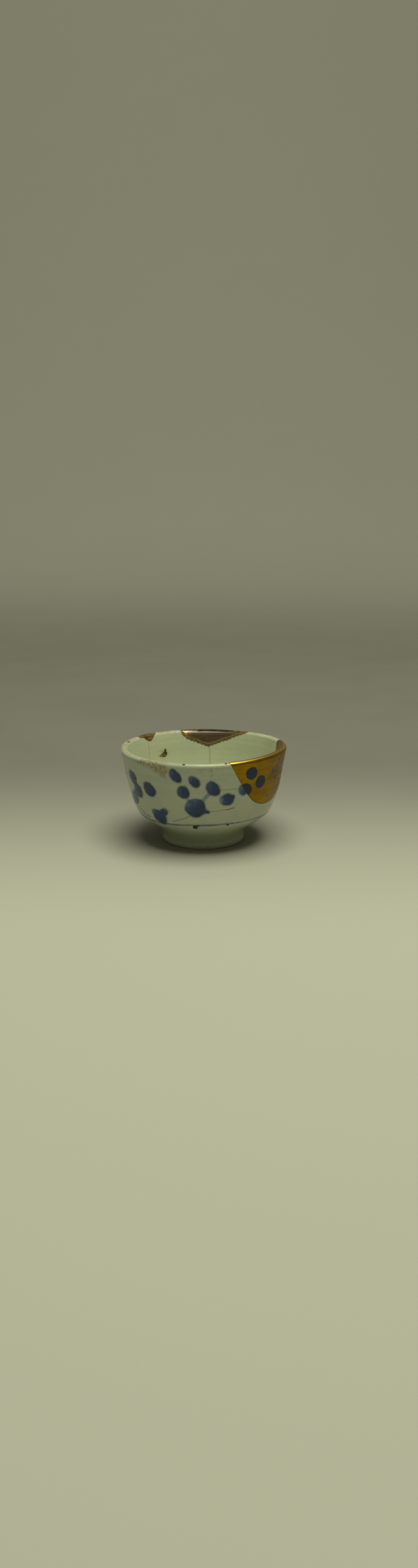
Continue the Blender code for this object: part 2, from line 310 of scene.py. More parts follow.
def breakColumns(name, gap, step):
    # angles from one end of the break to the other, close together at its ends
    edge = breaks[name]["edge"]
    tries = np.arange(edge[0][0], edge[-1][0] + 0.01, 0.1)
    isOpen = cutPositions(name, tries, gap)[2]
    ends = []
    firstOpen, lastOpen = np.argmax(isOpen), len(tries) - 1 - np.argmax(isOpen[::-1])
    for closed, opened in ((firstOpen - 1, firstOpen), (lastOpen + 1, lastOpen)):
        shut, wide = tries[closed], tries[opened]
        for _ in range(18):
            middle = (shut + wide) / 2
            if cutPositions(name, middle, gap)[2][0]:
                wide = middle
            else:
                shut = middle
        ends.append(shut)
    near = np.array([0.0, 0.03, 0.08, 0.16])
    inside = np.arange(ends[0] + 0.3, ends[1] - 0.3, step)
    return np.concatenate([ends[0] + near, inside, ends[1] - near[::-1]])


meshRule = {"decimals": 4, "sharpAbove": 42.0}  # points alike to this many decimals join; degrees


def meshFromGrid(name, points, fields, closedRows, closedColumns):
    # points and fields are rows by columns. Points that fall on each other become one.
    rows, columns = points.shape[:2]
    flat = points.reshape(-1, 3)
    rounded = np.round(flat, meshRule["decimals"])
    _, first, ids = np.unique(rounded, axis=0, return_index=True, return_inverse=True)
    ids = ids.reshape(rows, columns)
    if closedRows:
        ids = np.vstack([ids, ids[:1]])
    if closedColumns:
        ids = np.hstack([ids, ids[:, :1]])
    quads = np.stack([ids[:-1, :-1], ids[:-1, 1:], ids[1:, 1:], ids[1:, :-1]], -1).reshape(-1, 4)
    faces = []
    for quad in quads.tolist():
        corners = [v for i, v in enumerate(quad) if v != quad[i - 1]]
        if len(set(corners)) == len(corners) > 2:
            faces.append(corners)
    mesh = bpy.data.meshes.new(name)
    mesh.from_pydata((flat[first] / metre).tolist(), [], faces)
    for fieldName, values in fields.items():
        layer = mesh.attributes.new(fieldName, "FLOAT", "POINT")
        spread = np.broadcast_to(values, (rows, columns)).reshape(-1)[first]
        layer.data.foreach_set("value", spread.astype(np.float32))
    form = bmesh.new()
    form.from_mesh(mesh)
    bmesh.ops.recalc_face_normals(form, faces=form.faces)
    form.to_mesh(mesh)
    form.free()
    mesh.shade_smooth()
    mesh.set_sharp_from_angle(angle=math.radians(meshRule["sharpAbove"]))
    piece = bpy.data.objects.new(name, mesh)
    bpy.context.scene.collection.objects.link(piece)
    return piece


def wrapDegrees(angle):
    return (angle + 180.0) % 360.0 - 180.0


def unrolled(angle, height, place):
    # millimetres across and up from a place on the outside of the wall
    outer = section["outer"]
    radius = np.interp(height, outer[:, 1], outer[:, 0])
    return np.radians(wrapDegrees(angle - place[0])) * radius, height - place[1]


def ovalDistance(across, up, oval, unevenness, seed):
    # signed distance to the outline of a slightly uneven oval, below 0 inside it
    length, width, tilt = oval
    turn = math.radians(tilt)
    along = across * math.cos(turn) + up * math.sin(turn)
    aside = up * math.cos(turn) - across * math.sin(turn)
    a, b = length / 2, width / 2
    around = np.arctan2(aside / b, along / a)
    wobble = 1 + unevenness * (np.sin(2 * around + seed) + 0.8 * np.sin(3 * around + 2.3 * seed)
                               + 0.5 * np.sin(5 * around + 3.1 * seed))
    near = np.maximum(np.hypot(along / a, aside / b) / wobble, 0.001)
    steep = np.maximum(np.hypot(along / a ** 2, aside / b ** 2) / wobble, 0.001 / max(a, b))
    return near * (near - 1) / steep


# How painted strokes behave. Lengths are in millimetres.
brush = {
    "join": 0.28,  # how softly leaves that touch run together
    "mix": 0.45,  # and how softly their inks do
    "paleSide": 0.60,  # how much the ink thins towards a leaf's pale side
    "lineStep": 0.8,
    "lineEnds": 0.9,  # length over which a line fades at each end
    "lineReach": (1.3, 0.7),  # a line's ink is known this far from its edge, and fades over this much
    "far": 4.0,  # distances are no longer measured beyond this
    "farSide": 9.0,  # nor half widths to the side of a line beyond this
}


def paintedLeaves(angle, height, leaves, unevenness):
    # distance to the nearest leaf, and how dark the ink is there
    joined = np.full(angle.shape, 1e-12)
    weights, darkness = np.full(angle.shape, 1e-9), np.zeros(angle.shape)
    for number, (leafAngle, leafHeight, length, width, tilt, ink, paleSide) in enumerate(leaves):
        across, up = unrolled(angle, height, (leafAngle, leafHeight))
        distance = ovalDistance(across, up, (length, width, tilt), unevenness, number * 1.7)
        side = math.radians(paleSide)
        towards = (across * math.cos(side) + up * math.sin(side)) / length
        weight = np.exp(-np.clip(distance, -3, 6) / brush["mix"])
        darkness += weight * (ink - brush["paleSide"] * np.clip(towards, -0.6, 0.6))
        weights += weight
        joined += np.exp(-np.clip(distance, -6, 6) / brush["join"])
    return np.clip(-brush["join"] * np.log(joined), -3, brush["far"]), np.clip(darkness / weights, 0, 1)


def drawnLines(angle, height, lines, radiusAt):
    # side is the distance from the nearest line in half widths, and ink how strong that line is here
    farSide = brush["farSide"]
    best = np.full(angle.shape, farSide)
    side, ink = np.full(angle.shape, farSide), np.zeros(angle.shape)
    reach, reachFade = brush["lineReach"]
    for halfWidth, strength, places in lines:
        scale = np.radians(1.0) * radiusAt(np.mean([p[1] for p in places]))
        spots = np.array([(wrapDegrees(p[0] - places[0][0]) * scale, p[1]) for p in places])
        lengths = np.concatenate([[0], np.cumsum(np.linalg.norm(np.diff(spots, axis=0), axis=1))])
        fine = np.linspace(0, lengths[-1], max(int(lengths[-1] / brush["lineStep"]), 2) + 1)
        spots = np.stack([smoothLine(lengths, spots[:, i], fine) for i in (0, 1)], 1)
        x = wrapDegrees(angle - places[0][0]) * scale
        for i in range(len(spots) - 1):
            (x0, y0), (dx, dy) = spots[i], spots[i + 1] - spots[i]
            size = math.hypot(dx, dy)
            share = np.clip(((x - x0) * dx + (height - y0) * dy) / size ** 2, 0, 1)
            away = np.hypot(x - x0 - share * dx, height - y0 - share * dy)
            turned = ((x - x0) * dy - (height - y0) * dx) / size
            along = fine[i] + share * size
            fade = np.clip(np.minimum(along, lengths[-1] - along) / brush["lineEnds"], 0, 1)
            closer = away < best
            side = np.where(closer, np.where(turned < 0, -away, away) / halfWidth, side)
            near = np.clip((halfWidth + reach - away) / reachFade, 0, 1)
            ink = np.where(closer, strength * fade * near, ink)
            best = np.minimum(best, away)
    return np.clip(side, -farSide, farSide), ink


def softPatches(angle, height, patches, radiusAt):
    # how much of the soft round patches lies on each point
    amount = np.zeros(angle.shape)
    for placeAngle, placeHeight, wide, high, strength in patches:
        across = np.radians(wrapDegrees(angle - placeAngle)) * radiusAt(placeHeight)
        amount += strength * np.exp(-(across / wide) ** 2 - ((height - placeHeight) / high) ** 2)
    return np.clip(amount, 0, 1.5)


def outerRadius(height):
    return float(np.interp(height, section["outer"][:, 1], section["outer"][:, 0]))


def innerRadius(height):
    here = section["at"] < lipTop
    return float(np.interp(height, section["line"][here, 1], section["line"][here, 0]))


def spotDistance(points, spots):
    # distance from small round marks that are placed on the surface: angle, height, 1 outside or 0 inside
    nearest, tone = np.full(points.shape[:-1], brush["far"]), np.zeros(points.shape[:-1])
    underside = lowerSection()[16::-1]  # from the foot up to the turn
    for angle, height, outside, size, spotTone in spots:
        if outside and height < cupShape["turnHeight"]:
            radius = float(np.interp(height, underside[:, 1], underside[:, 0]))
        else:
            onLip = lipTop + (0.5 if outside else -0.5)
            position = onLip if height > agedGlaze["lipSpotsFrom"] else positionAt(height, outside)
            radius, height = [float(v) for v in sectionAt(position)[:2]]
        centre = byHand(np.array(angle), np.array(radius), np.array(height))
        distance = np.linalg.norm(points - centre, axis=-1) - size
        tone = np.where(distance < nearest, spotTone, tone)
        nearest = np.minimum(nearest, distance)
    return nearest, tone


# The cup: its painting, its age and its chips
paintedWall = {
    # angle, height, length, width, tilt, ink, side that runs pale
    "leaves": (
        (-66.0, 33.2, 6.2, 4.2, -62, .58, 150), (-52.9, 31.1, 5.2, 3.9, -51, .48, 150),
        (-61.2, 26.7, 5.4, 5.0, -50, .62, 160), (-53.0, 20.4, 8.3, 7.7, 0, .62, 130),
        (-45.6, 18.8, 3.6, 1.7, -8, .55, 180), (-40.1, 28.2, 6.5, 5.0, -51, .52, 165),
        (-29.8, 23.4, 5.8, 4.9, 10, .56, 190), (-26.8, 23.9, 3.4, 2.6, 20, .60, 180),
        (-89.4, 26.0, 6.3, 6.0, -40, .66, 130), (-84.8, 15.0, 6.2, 5.8, 10, .60, 60),
        (-79.3, 17.4, 4.4, 3.0, 40, .50, 45), (-88.2, 16.4, 3.6, 2.8, 150, .42, 120),
        (-82.4, 12.9, 3.4, 2.6, 30, .60, 270),
        (-108.2, 28.9, 6.3, 5.7, 10, .66, 180), (-103.6, 24.0, 6.6, 5.5, -76, .62, 200),
        (-116.9, 19.1, 6.3, 5.3, 0, .55, 170), (-111.3, 20.4, 5.9, 4.5, 80, .58, 80),
        (-113.4, 19.6, 3.8, 2.6, 70, .80, 90),
        (-130.5, 22.0, 5.0, 4.3, 2, .70, 160), (-127.9, 28.3, 5.4, 5.1, -78, .60, 100),
        (-144.5, 29.4, 5.7, 5.1, -34, .66, 130), (-144.5, 20.3, 7.1, 6.2, 0, .88, 110),
        (-160.4, 19.3, 8.0, 7.5, 10, .90, 100), (-161.4, 29.1, 9.9, 8.6, 49, .80, 60),
        (-176.2, 22.0, 10.6, 7.0, 52, .58, 20), (176.6, 19.6, 7.4, 5.6, 30, .66, 120),
        (166.8, 30.1, 6.4, 4.9, -32, .74, 120), (151.7, 29.3, 6.2, 5.6, -13, .70, 150),
        (164.3, 23.7, 6.8, 5.6, -29, .78, 90), (121.6, 30.0, 4.8, 4.3, -30, .62, 140),
        (126.3, 27.6, 5.0, 4.4, -40, .72, 120), (132.4, 23.4, 5.1, 4.5, -71, .72, 100),
        (110.0, 22.1, 10.4, 7.3, -4, .74, 200), (148.3, 14.8, 5.4, 4.7, 43, .78, 130),
        (145.2, 16.4, 3.0, 2.6, 90, .55, 160), (68.8, 26.0, 6.2, 4.8, -40, .66, 130),
        (85.0, 27.9, 6.1, 5.4, -30, .62, 170), (82.2, 22.4, 6.4, 5.1, -28, .60, 180),
        (-17.4, 26.6, 4.8, 4.4, -46, .34, 180),
    ),
    # half width, strength, places along it
    "stems": (
        (.26, .55, ((-139.8, 27.8), (-131.1, 26.6), (-125.7, 25.2), (-121.4, 23.6), (-118.6, 21.6))),
        (.30, .80, ((-111.2, 16.9), (-106.3, 15.0), (-101.5, 13.8), (-96.0, 13.7))),
        (.24, .35, ((-109.8, 22.8), (-105.6, 25.2))), (.20, .25, ((-98.0, 26.2), (-92.5, 26.1))),
        (.24, .35, ((-77.6, 17.9), (-72.6, 18.3))),
        (.24, .50, ((-56.5, 17.4), (-61.0, 15.9), (-67.0, 14.8), (-73.5, 13.7))),
        (.20, .35, ((-157.0, 24.0), (-151.6, 22.4))),
        (.65, .70, ((-48.6, 22.6), (-45.5, 24.6), (-42.0, 26.6))),
        (.22, .40, ((-36.0, 27.5), (-27.3, 27.5), (-18.6, 27.3))),
        (.16, .55, ((-44.0, 19.0), (-38.0, 18.9), (-33.0, 19.2), (-30.0, 19.3))),
        (.30, .60, ((-58.6, 24.6), (-55.8, 22.6))), (.22, .45, ((73.6, 25.8), (80.2, 25.6))),
        (.24, .45, ((89.5, 25.6), (95.4, 24.3), (101.5, 22.2))), (.22, .45, ((115.6, 24.2), (119.8, 26.4))),
        (.36, .85, ((114.6, 17.7), (119.7, 16.1), (125.0, 14.8), (133.0, 14.0))),
        (.20, .35, ((129.4, 27.1), (136.9, 26.4), (147.0, 25.2))),
        (.26, .50, ((168.6, 26.9), (173.1, 24.9), (175.6, 23.2))),
        (.30, .60, ((157.8, 13.2), (163.8, 15.0), (170.5, 17.2))),
    ),
    "turnHeights": (
        (-180, 13.2), (-165, 13.4), (-150, 13.2), (-130, 12.9), (-115, 12.5), (-100, 12.15), (-85, 12.1),
        (-70, 12.4), (-60, 12.8), (-45, 12.8), (-30, 13.0), (-15, 12.8), (0, 12.9), (12, 12.6), (22, 12.3),
        (35, 12.1), (50, 12.1), (65, 12.2), (80, 12.2), (95, 12.5), (110, 12.7), (140, 12.5), (155, 12.6),
        (170, 13.0), (180, 13.2)),
    "turnInk": (
        (-180, .45), (-150, .70), (-110, .85), (-75, .90), (-40, .80), (-10, .60), (20, .75), (45, .95),
        (80, .95), (105, .70), (135, .55), (160, .60), (180, .45)),
    "turnHalfWidth": 0.42,
}

agedGlaze = {
    # brown hairlines: half width, strength, places along them
    "outerCracks": (
        (.17, .95, ((-31.5, 19.2), (-28.5, 19.3), (-25.5, 19.5), (-22.3, 19.9))),
        (.12, .45, ((130.1, 33.2), (129.7, 29.0), (128.4, 24.4), (126.3, 21.0), (125.3, 17.4))),
        (.13, .85, ((27.4, 16.9), (26.0, 14.6), (26.6, 12.2), (33.7, 11.8))),
        (.10, .22, ((15.0, 17.2), (19.0, 16.0), (22.0, 15.4), (28.0, 16.6))),
        (.10, .25, ((-42.0, 37.0), (-41.0, 33.5), (-42.5, 30.6))),
        (.10, .25, ((-70.0, 36.5), (-74.0, 33.0), (-73.0, 30.0))),
    ),
    "innerCracks": (
        (.13, .50, ((128.5, 30.6), (128.2, 27.0), (128.2, 22.0))),
        (.12, .42, ((-176.8, 34.9), (-176.5, 31.0), (-175.8, 25.0), (-175.9, 22.0))),
        (.12, .35, ((-112.4, 37.2), (-114.6, 34.6), (-113.5, 32.0), (-111.5, 30.2))),
    ),
    "lipSpotsFrom": 37.4,  # a spot above this height lies on the round of the lip
    "lipGlazeFrom": (37.2, 0.55),  # the glaze thins over the lip from this height, over this much
    # angle, height, 1 outside or 0 inside, radius, tone from 0 black to 1 rust
    "spots": (
        (-53.9, 12.1, 1, 1.20, .0), (-51.2, 12.6, 1, .42, .03), (-26.4, 12.5, 1, .62, .04),
        (-22.6, 12.9, 1, .34, .15), (-68.1, 12.6, 1, .26, .05), (-64.0, 12.5, 1, .20, .05),
        (20.1, 12.0, 1, .24, .10), (32.8, 12.1, 1, .26, .05), (30.3, 14.9, 1, .34, .55),
        (28.4, 15.6, 1, .36, .10),
        (26.3, 14.2, 1, .36, .05), (31.5, 13.4, 1, .50, .05), (33.6, 12.6, 1, .45, .08),
        (57.0, 21.0, 1, .26, .45), (56.0, 20.8, 1, .16, .45), (-59.8, 37.8, 1, .56, .0),
        (-31.4, 37.8, 1, .50, .0), (-43.7, 37.8, 1, .24, .20), (93.0, 37.8, 1, .34, .10),
        (-78.0, 37.8, 0, .24, .20), (-36.6, 32.8, 1, .18, .55), (-72.0, 34.6, 1, .16, .45),
        (107.4, 18.3, 1, .42, .30), (109.6, 18.0, 1, .34, .45), (114.2, 17.6, 1, .55, .05),
        (112.9, 18.4, 1, .36, .10), (105.8, 18.8, 1, .24, .45), (120.4, 28.1, 1, .42, .50),
        (121.6, 28.4, 1, .30, .65), (-125.5, 15.0, 1, .18, .70), (-40.2, .9, 1, .34, .75),
        (166.9, 30.5, 0, .55, .04), (167.6, 29.6, 0, .52, .12), (168.8, 29.0, 0, .60, .12),
        (170.2, 28.6, 0, .55, .40), (172.2, 28.2, 0, .42, .30), (166.2, 28.7, 0, .52, .06),
        (167.9, 28.0, 0, .50, .26), (165.8, 29.6, 0, .32, .35), (169.6, 27.9, 0, .34, .10),
        (171.3, 28.9, 0, .26, .60),
        (-44.0, 31.8, 0, .42, .22), (-43.0, 32.6, 0, .24, .25), (-65.6, 26.8, 0, .40, .28),
        (-67.8, 26.0, 0, .36, .18), (-74.6, 21.2, 0, .70, .85), (-74.0, 22.3, 0, .42, .80),
        (-86.0, 15.0, 0, .20, .30), (-141.5, 37.8, 1, .34, .35), (-138.0, 37.8, 1, .20, .40),
        (-150.0, 37.8, 0, .75, .15),
        (-120.0, 37.8, 0, .18, .40), (-112.0, 37.7, 1, .20, .35), (160.0, 37.8, 0, .22, .45),
        (155.5, 37.8, 1, .18, .40), (70.0, 37.8, 0, .16, .50), (-101.0, 37.8, 0, .22, .20),
        (7.5, 18.5, 0, .30, .60), (4.0, 18.3, 0, .22, .55), (-43.5, 12.5, 0, .50, .35),
        (-49.5, 12.1, 0, .45, .30), (-46.5, 12.9, 0, .36, .15), (-41.0, 11.9, 0, .30, .45),
    ),
    # angle, height, reach across, reach up and down, strength
    "outerStains": (
        (-79.0, 35.8, 3.6, 2.0, 1.5), (-75.0, 34.2, 2.2, 2.2, 1.3), (-86.0, 36.9, 3.4, 1.2, 1.1),
        (30.3, 15.4, 1.4, 1.2, .6), (109.0, 18.4, 3.2, 1.2, .5), (120.6, 28.3, 1.3, .8, .6),
        (-125.0, 14.6, 3.0, 1.0, .25), (127.0, 20.0, 1.6, 3.0, .22), (-92.0, 37.2, 3.0, .9, .5),
        (-6.0, 1.0, 3.0, 1.0, .35), (-40.2, 1.2, 1.4, 1.0, .5), (168.0, 36.5, 2.0, 1.2, .35),
    ),
    "innerStains": (
        (168.8, 29.0, 2.3, 1.7, 1.3), (-105.6, 25.6, 3.6, 1.6, .30), (-96.0, 26.4, 2.6, 1.4, .28),
        (-74.3, 20.4, 1.4, 2.0, .45), (7.0, 19.3, 4.2, 1.3, .75), (-109.0, 27.8, 1.2, 2.4, .45),
        (-99.8, 24.3, 1.2, 1.0, .30), (-116.0, 35.0, 2.0, 2.4, .35), (-160.0, 29.0, 1.0, 1.2, .25),
        (-46.0, 12.3, 3.0, 1.1, 1.3), (-176.5, 36.6, 4.0, 1.2, .25), (156.0, 36.8, 3.4, 1.2, .35),
    ),
    # the same for faint smudges of the blue
    "smudges": (
        (-93.5, 36.3, 4.0, 1.1, .75), (-49.0, 35.3, 9.0, .7, .60), (-38.0, 33.6, 7.0, .5, .60),
        (-42.0, 36.2, 6.0, .4, .40), (-36.0, 31.8, 6.0, .5, .35),
        (148.5, 12.0, 2.4, 1.6, .45), (153.0, 8.6, 2.2, 2.4, .40), (60.0, 12.0, 34.0, .9, .55),
        (-160.0, 24.4, 4.0, 1.2, .25), (-100.0, 36.6, 5.0, .8, .45), (134.0, 36.4, 6.0, .7, .20),
        (-29.0, 21.6, 3.0, 1.4, .20), (-92.6, 25.4, 1.6, 2.4, .20), (92.6, 27.6, 2.0, 2.6, .28),
        (80.0, 13.3, 20.0, .8, .30), (-18.0, 24.4, 2.2, 1.6, .25),
    ),
    # stretches of the lip where the glaze is worn: first angle, last angle, strength
    "wornLip": (
        (-163, -122, 1.0), (-122, -96, .5), (-70, -44, .35), (160, 171, .85), (-166, -158, .5),
        (-96, -70, .6), (-42, -31, .45), (58, 72, .35), (151, 158, .9), (86, 96, .5),
        (-120, -106, .7), (-30, -27, .6)),
}

# Small chips: angle, radius and height of the ball that would fill it, its size
chips = (
    (-141.0, 32.05, 39.37, 2.2), (-40.0, 17.6, -0.55, 1.6), (-13.0, 17.2, -0.4, 1.2),
    (131.6, 17.9, -0.65, 1.8), (-59.9, 32.9, 38.5, 0.9), (-30.7, 32.8, 38.6, 0.85),
    (93.2, 32.6, 38.3, 0.8), (-53.9, 27.2, 11.9, 0.75),
)


def pressChips(points):
    # points inside a chip's ball move out to its surface
    for angle, radius, height, size in chips:
        centre = byHand(np.array(angle), np.array(radius), np.array(height))
        offset = points - centre
        distance = np.linalg.norm(offset, axis=-1)
        bite = distance < size
        grain = 1 + 0.03 * np.sin(points[..., 0] * 9 + points[..., 2] * 7) * np.sin(points[..., 1] * 8)
        pushed = centre + offset / np.maximum(distance, 1e-6)[..., None] * (size * grain)[..., None]
        points = np.where(bite[..., None], pushed, points)
    return points


cupGrid = {
    "step": 0.80,  # degrees from column to column
    # more of them where a break ends steeply: first angle, last angle, step
    "extraColumns": ((190.6, 193.0, 0.2), (-30.4, -27.6, 0.3), (55.0, 57.4, 0.3)),
    "wellTop": 16.0,
    "wallFoot": 17.6,
    "wellRows": 25,
    "innerRows": 45,
    "faceRows": 6,
    "outerRows": 67,
    "lowRows": 18,
}


def cupColumns():
    # even angles round the cup, with more of them at both ends of each break
    base = np.arange(-90.0, 270.0, cupGrid["step"])
    special = []
    for name in breaks:
        ends = breakColumns(name, 0.0, cupGrid["step"])
        special += [ends[:4], ends[-4:]]
    special += [np.arange(*stretch) for stretch in cupGrid["extraColumns"]]
    special = np.sort(np.concatenate(special))
    special = special[np.concatenate([[True], np.diff(special) > 0.02])]
    near = np.min(np.abs(base[:, None] - special[None]), axis=1) < 0.10
    return np.sort(np.concatenate([base[~near], special]))


def shapeCup():
    # rows run from the well up the inside, over the lip or the broken face, and down to the foot's recess
    angle = cupColumns()
    first, last = np.zeros(len(angle)), np.zeros(len(angle))
    anchors = []
    broken = np.zeros(len(angle), bool)
    for name in breaks:
        ends = breakColumns(name, 0.0, cupGrid["step"])[[0, -1]]
        touch = cutPositions(name, ends, 0.0)[0]
        anchors += list(zip(ends, touch))
        one, two, isOpen = cutPositions(name, angle, 0.0)
        inside = isOpen & (angle > ends[0]) & (angle < ends[1])
        first, last = np.where(inside, one, first), np.where(inside, two, last)
        broken |= inside
    anchors.sort()
    joined = np.interp(angle, [a[0] for a in anchors], [a[1] for a in anchors], period=360)
    first, last = np.where(broken, first, joined), np.where(broken, last, joined)

    lowIn, lowOut = positionAt(cupGrid["wellTop"], False), positionAt(cupGrid["wallFoot"], True)
    wellRows = np.linspace(0, 1, cupGrid["wellRows"])[:-1]
    innerRows = np.linspace(0, 1, cupGrid["innerRows"])
    outerRows = np.linspace(0, 1, cupGrid["outerRows"])
    innerRows = innerRows * (1.6 - 0.6 * innerRows)
    outerRows = outerRows * (0.55 + 0.45 * outerRows)
    well = np.repeat((wellRows * lowIn)[:, None], len(angle), 1)
    inner = lowIn + (first - lowIn)[None] * innerRows[:, None]
    outer = last[None] + (lowOut - last)[None] * outerRows[:, None]
    lower = np.linspace(lowOut, section["at"][-1], cupGrid["lowRows"])[1:]
    lower = np.repeat(lower[:, None], len(angle), 1)

    def place(position):
        radius, height, outwards, upwards = sectionAt(position)
        push = ripple(angle[None], height) * smoothInside(position) - lipWear(angle[None], position)
        return radius + outwards * push, height + upwards * push

    insideRadius, insideHeight = place(np.vstack([well, inner]))
    outsideRadius, outsideHeight = place(np.vstack([outer, lower]))
    across = np.linspace(0, 1, cupGrid["faceRows"] + 2)[1:-1, None]
    faceRadius = insideRadius[-1] + (outsideRadius[0] - insideRadius[-1]) * across
    faceHeight = insideHeight[-1] + (outsideHeight[0] - insideHeight[-1]) * across
    under = lowerSection()
    fade = np.clip((under[:, 1] - 1.0) / 2.0, 0, 1) * (under[:, 0] > 14)
    push = ripple(angle[None], under[:, 1][:, None]) * fade[:, None]
    underRadius = under[:, 0][:, None] + push
    underHeight = np.repeat(under[:, 1][:, None], len(angle), 1)
    radius = np.vstack([insideRadius, faceRadius, outsideRadius, underRadius])
    height = np.vstack([insideHeight, faceHeight, outsideHeight, underHeight])
    radius[0] = radius[-1] = 0.0
    height[0] = height[0].mean()
    points = pressChips(byHand(np.broadcast_to(angle, radius.shape), radius, height))

    insideCount, outsideCount = len(insideRadius), len(outsideRadius)
    outside = np.zeros(radius.shape, bool)
    outside[insideCount + cupGrid["faceRows"] // 2:] = True
    onFace = np.zeros(radius.shape)
    onFace[insideCount:insideCount + len(across)] = broken.astype(float)
    angles = np.broadcast_to(angle, radius.shape)
    fields = paintFields(angles, radius, height, points, outside)
    fields["brokenFace"] = onFace
    fields["unglazed"] = unglazedFoot(radius, height, insideCount + outsideCount)
    return meshFromGrid("porcelainCup", points, fields, False, True)


def unglazedFoot(radius, height, firstRow):
    # the standing ring was wiped bare before firing
    bare = np.clip((0.75 - height) / 0.4, 0, 1) * (radius > 11.5)
    bare[:firstRow] = 0
    return bare


def paintFields(angle, radius, height, points, outside):
    # what the glaze material reads at each point
    wall = paintedWall
    leafDistance, leafInk = paintedLeaves(angle, height, wall["leaves"], 0.035)
    stemSide, stemInk = drawnLines(angle, height, wall["stems"], outerRadius)
    outerSide, outerInk = drawnLines(angle, height, agedGlaze["outerCracks"], outerRadius)
    innerSide, innerInk = drawnLines(angle, height, agedGlaze["innerCracks"], innerRadius)
    lineHeight = np.interp(angle, *np.array(wall["turnHeights"]).T, period=360)
    lineInk = np.interp(angle, *np.array(wall["turnInk"]).T, period=360)
    spot, spotTone = spotDistance(points, agedGlaze["spots"])
    isWall = outside & (height > 3.0)
    worn = np.zeros(angle.shape)
    for start, end, strength in agedGlaze["wornLip"]:
        middle, half = (start + end) / 2, (end - start) / 2
        reach = np.clip((half + 1.5 - np.abs(wrapDegrees(angle - middle))) / 3, 0, 1)
        worn = np.maximum(worn, reach * strength)
    lipFrom, lipOver = agedGlaze["lipGlazeFrom"]
    lipShare = np.clip((height - lipFrom) / lipOver, 0, 1)
    return {
        "leafDistance": np.where(isWall, leafDistance, brush["far"]),
        "leafInk": leafInk,
        "stemSide": stemSide,
        "stemInk": np.where(isWall, stemInk, 0.0),
        "turnSide": np.where(isWall, (height - lineHeight) / wall["turnHalfWidth"], brush["farSide"]),
        "turnInk": lineInk,
        "crackSide": np.where(outside, outerSide, innerSide),
        "crackInk": np.where(outside, outerInk, innerInk),
        "spotDistance": spot,
        "spotTone": spotTone,
        "stain": np.where(outside, softPatches(angle, height, agedGlaze["outerStains"], outerRadius),
                          softPatches(angle, height, agedGlaze["innerStains"], innerRadius)),
        "smudge": np.where(isWall, softPatches(angle, height, agedGlaze["smudges"], outerRadius), 0.0),
        "wornLip": worn * lipShare,
        "lipShare": lipShare,
        "heightOnCup": height,
        "outside": isWall.astype(float),
    }


# The three fills. Rows go over the lip from edge to edge, and step is the angle from column to column.
# A brown fill slopes away inside the lip, by bevel's depth over its reach, and has fine gold lines at
# these distances from its edge. Its gilded stretches are angle, reach either way and strength.
fills = {
    "gold_lacquer_fill": {"piece": "goldFill", "rows": 190, "step": 0.25},
    "long_rim_fill": {
        "piece": "longRimFill", "rows": 110, "step": 0.16,
        "bevel": (0.95, 5.5),
        "lines": (1.15,),
        "lineWidth": 0.18,
        "gilding": ((149.0, 4.2, 0.95), (102.0, 7.0, 0.40)),
        "mottling": 1.0,
        "streaks": 0.25,
        "fixed": {"Coat Weight": 1.0, "Specular IOR Level": 0.5},
    },
    "pointed_rim_fill": {
        "piece": "pointedRimFill", "rows": 110, "step": 0.10,
        "bevel": (0.20, 3.0),
        "lines": (0.6, 1.5),
        "lineWidth": 0.13,
        "gilding": ((178.0, 5.0, 0.55), (190.0, 3.0, 0.35)),
        "mottling": 0.4,
        "streaks": 0.30,
        "fixed": {"Coat Weight": 0.0, "Specular IOR Level": 0.2},
    },
}
fillRelief = {
    "edgeSink": 0.03,
    "proud": 0.06,
    "roundedOver": 0.35,
    "paint": 0.02,  # height of the painting on the gold
    "lineStep": 0.022,  # height of each gold line on the brown
    "stepWidth": 0.12,
}

goldPicture = {
    "leaves": (
        (-15.5, 26.5, 5.7, 4.9, -46, .5, 180), (-11.9, 32.7, 5.5, 5.0, -30, .5, 180),
        (-2.8, 28.5, 5.3, 5.0, -10, .5, 180)),
    # angle, height, length, width, tilt
    "seeds": (
        (17.7, 35.0, 1.9, 1.0, 20), (10.6, 31.7, 2.3, 1.2, 50), (12.4, 30.7, 1.3, .8, 40),
        (11.6, 29.9, 1.0, .6, 10), (14.9, 32.8, 1.9, 1.0, 55), (17.9, 32.0, 1.8, 1.0, 15),
        (22.1, 32.9, 2.0, 1.0, 45), (25.0, 35.0, 1.8, .8, 65), (27.5, 34.0, 2.0, .9, 80),
        (31.4, 35.4, 1.8, .8, 60), (31.4, 33.4, 1.6, .8, 0), (36.0, 34.3, 2.0, .8, 40),
        (36.9, 36.1, 1.3, .6, 45), (41.0, 34.9, 1.6, .5, 40), (37.5, 32.9, 1.2, .8, -10),
        (29.4, 31.7, 1.9, .9, -15), (34.4, 31.3, 1.5, 1.2, 0), (23.2, 30.8, 1.4, .7, -35),
        (24.1, 29.2, 2.3, 1.3, -15), (29.8, 29.2, 1.8, .9, -40), (17.1, 30.2, 2.1, .8, -15),
        (15.7, 27.8, 2.5, 1.2, -35), (22.5, 26.3, 1.9, 1.1, -30)),
    "stems": (
        (.15, .95, ((3.6, 28.9), (7.0, 29.5), (10.9, 30.0))),
        (.13, .85, ((-9.6, 28.1), (-8.0, 28.1), (-6.0, 28.0))),
        (.12, .80, ((12.0, 30.1), (16.0, 30.9), (22.0, 31.5), (28.8, 32.7))),
    ),
}


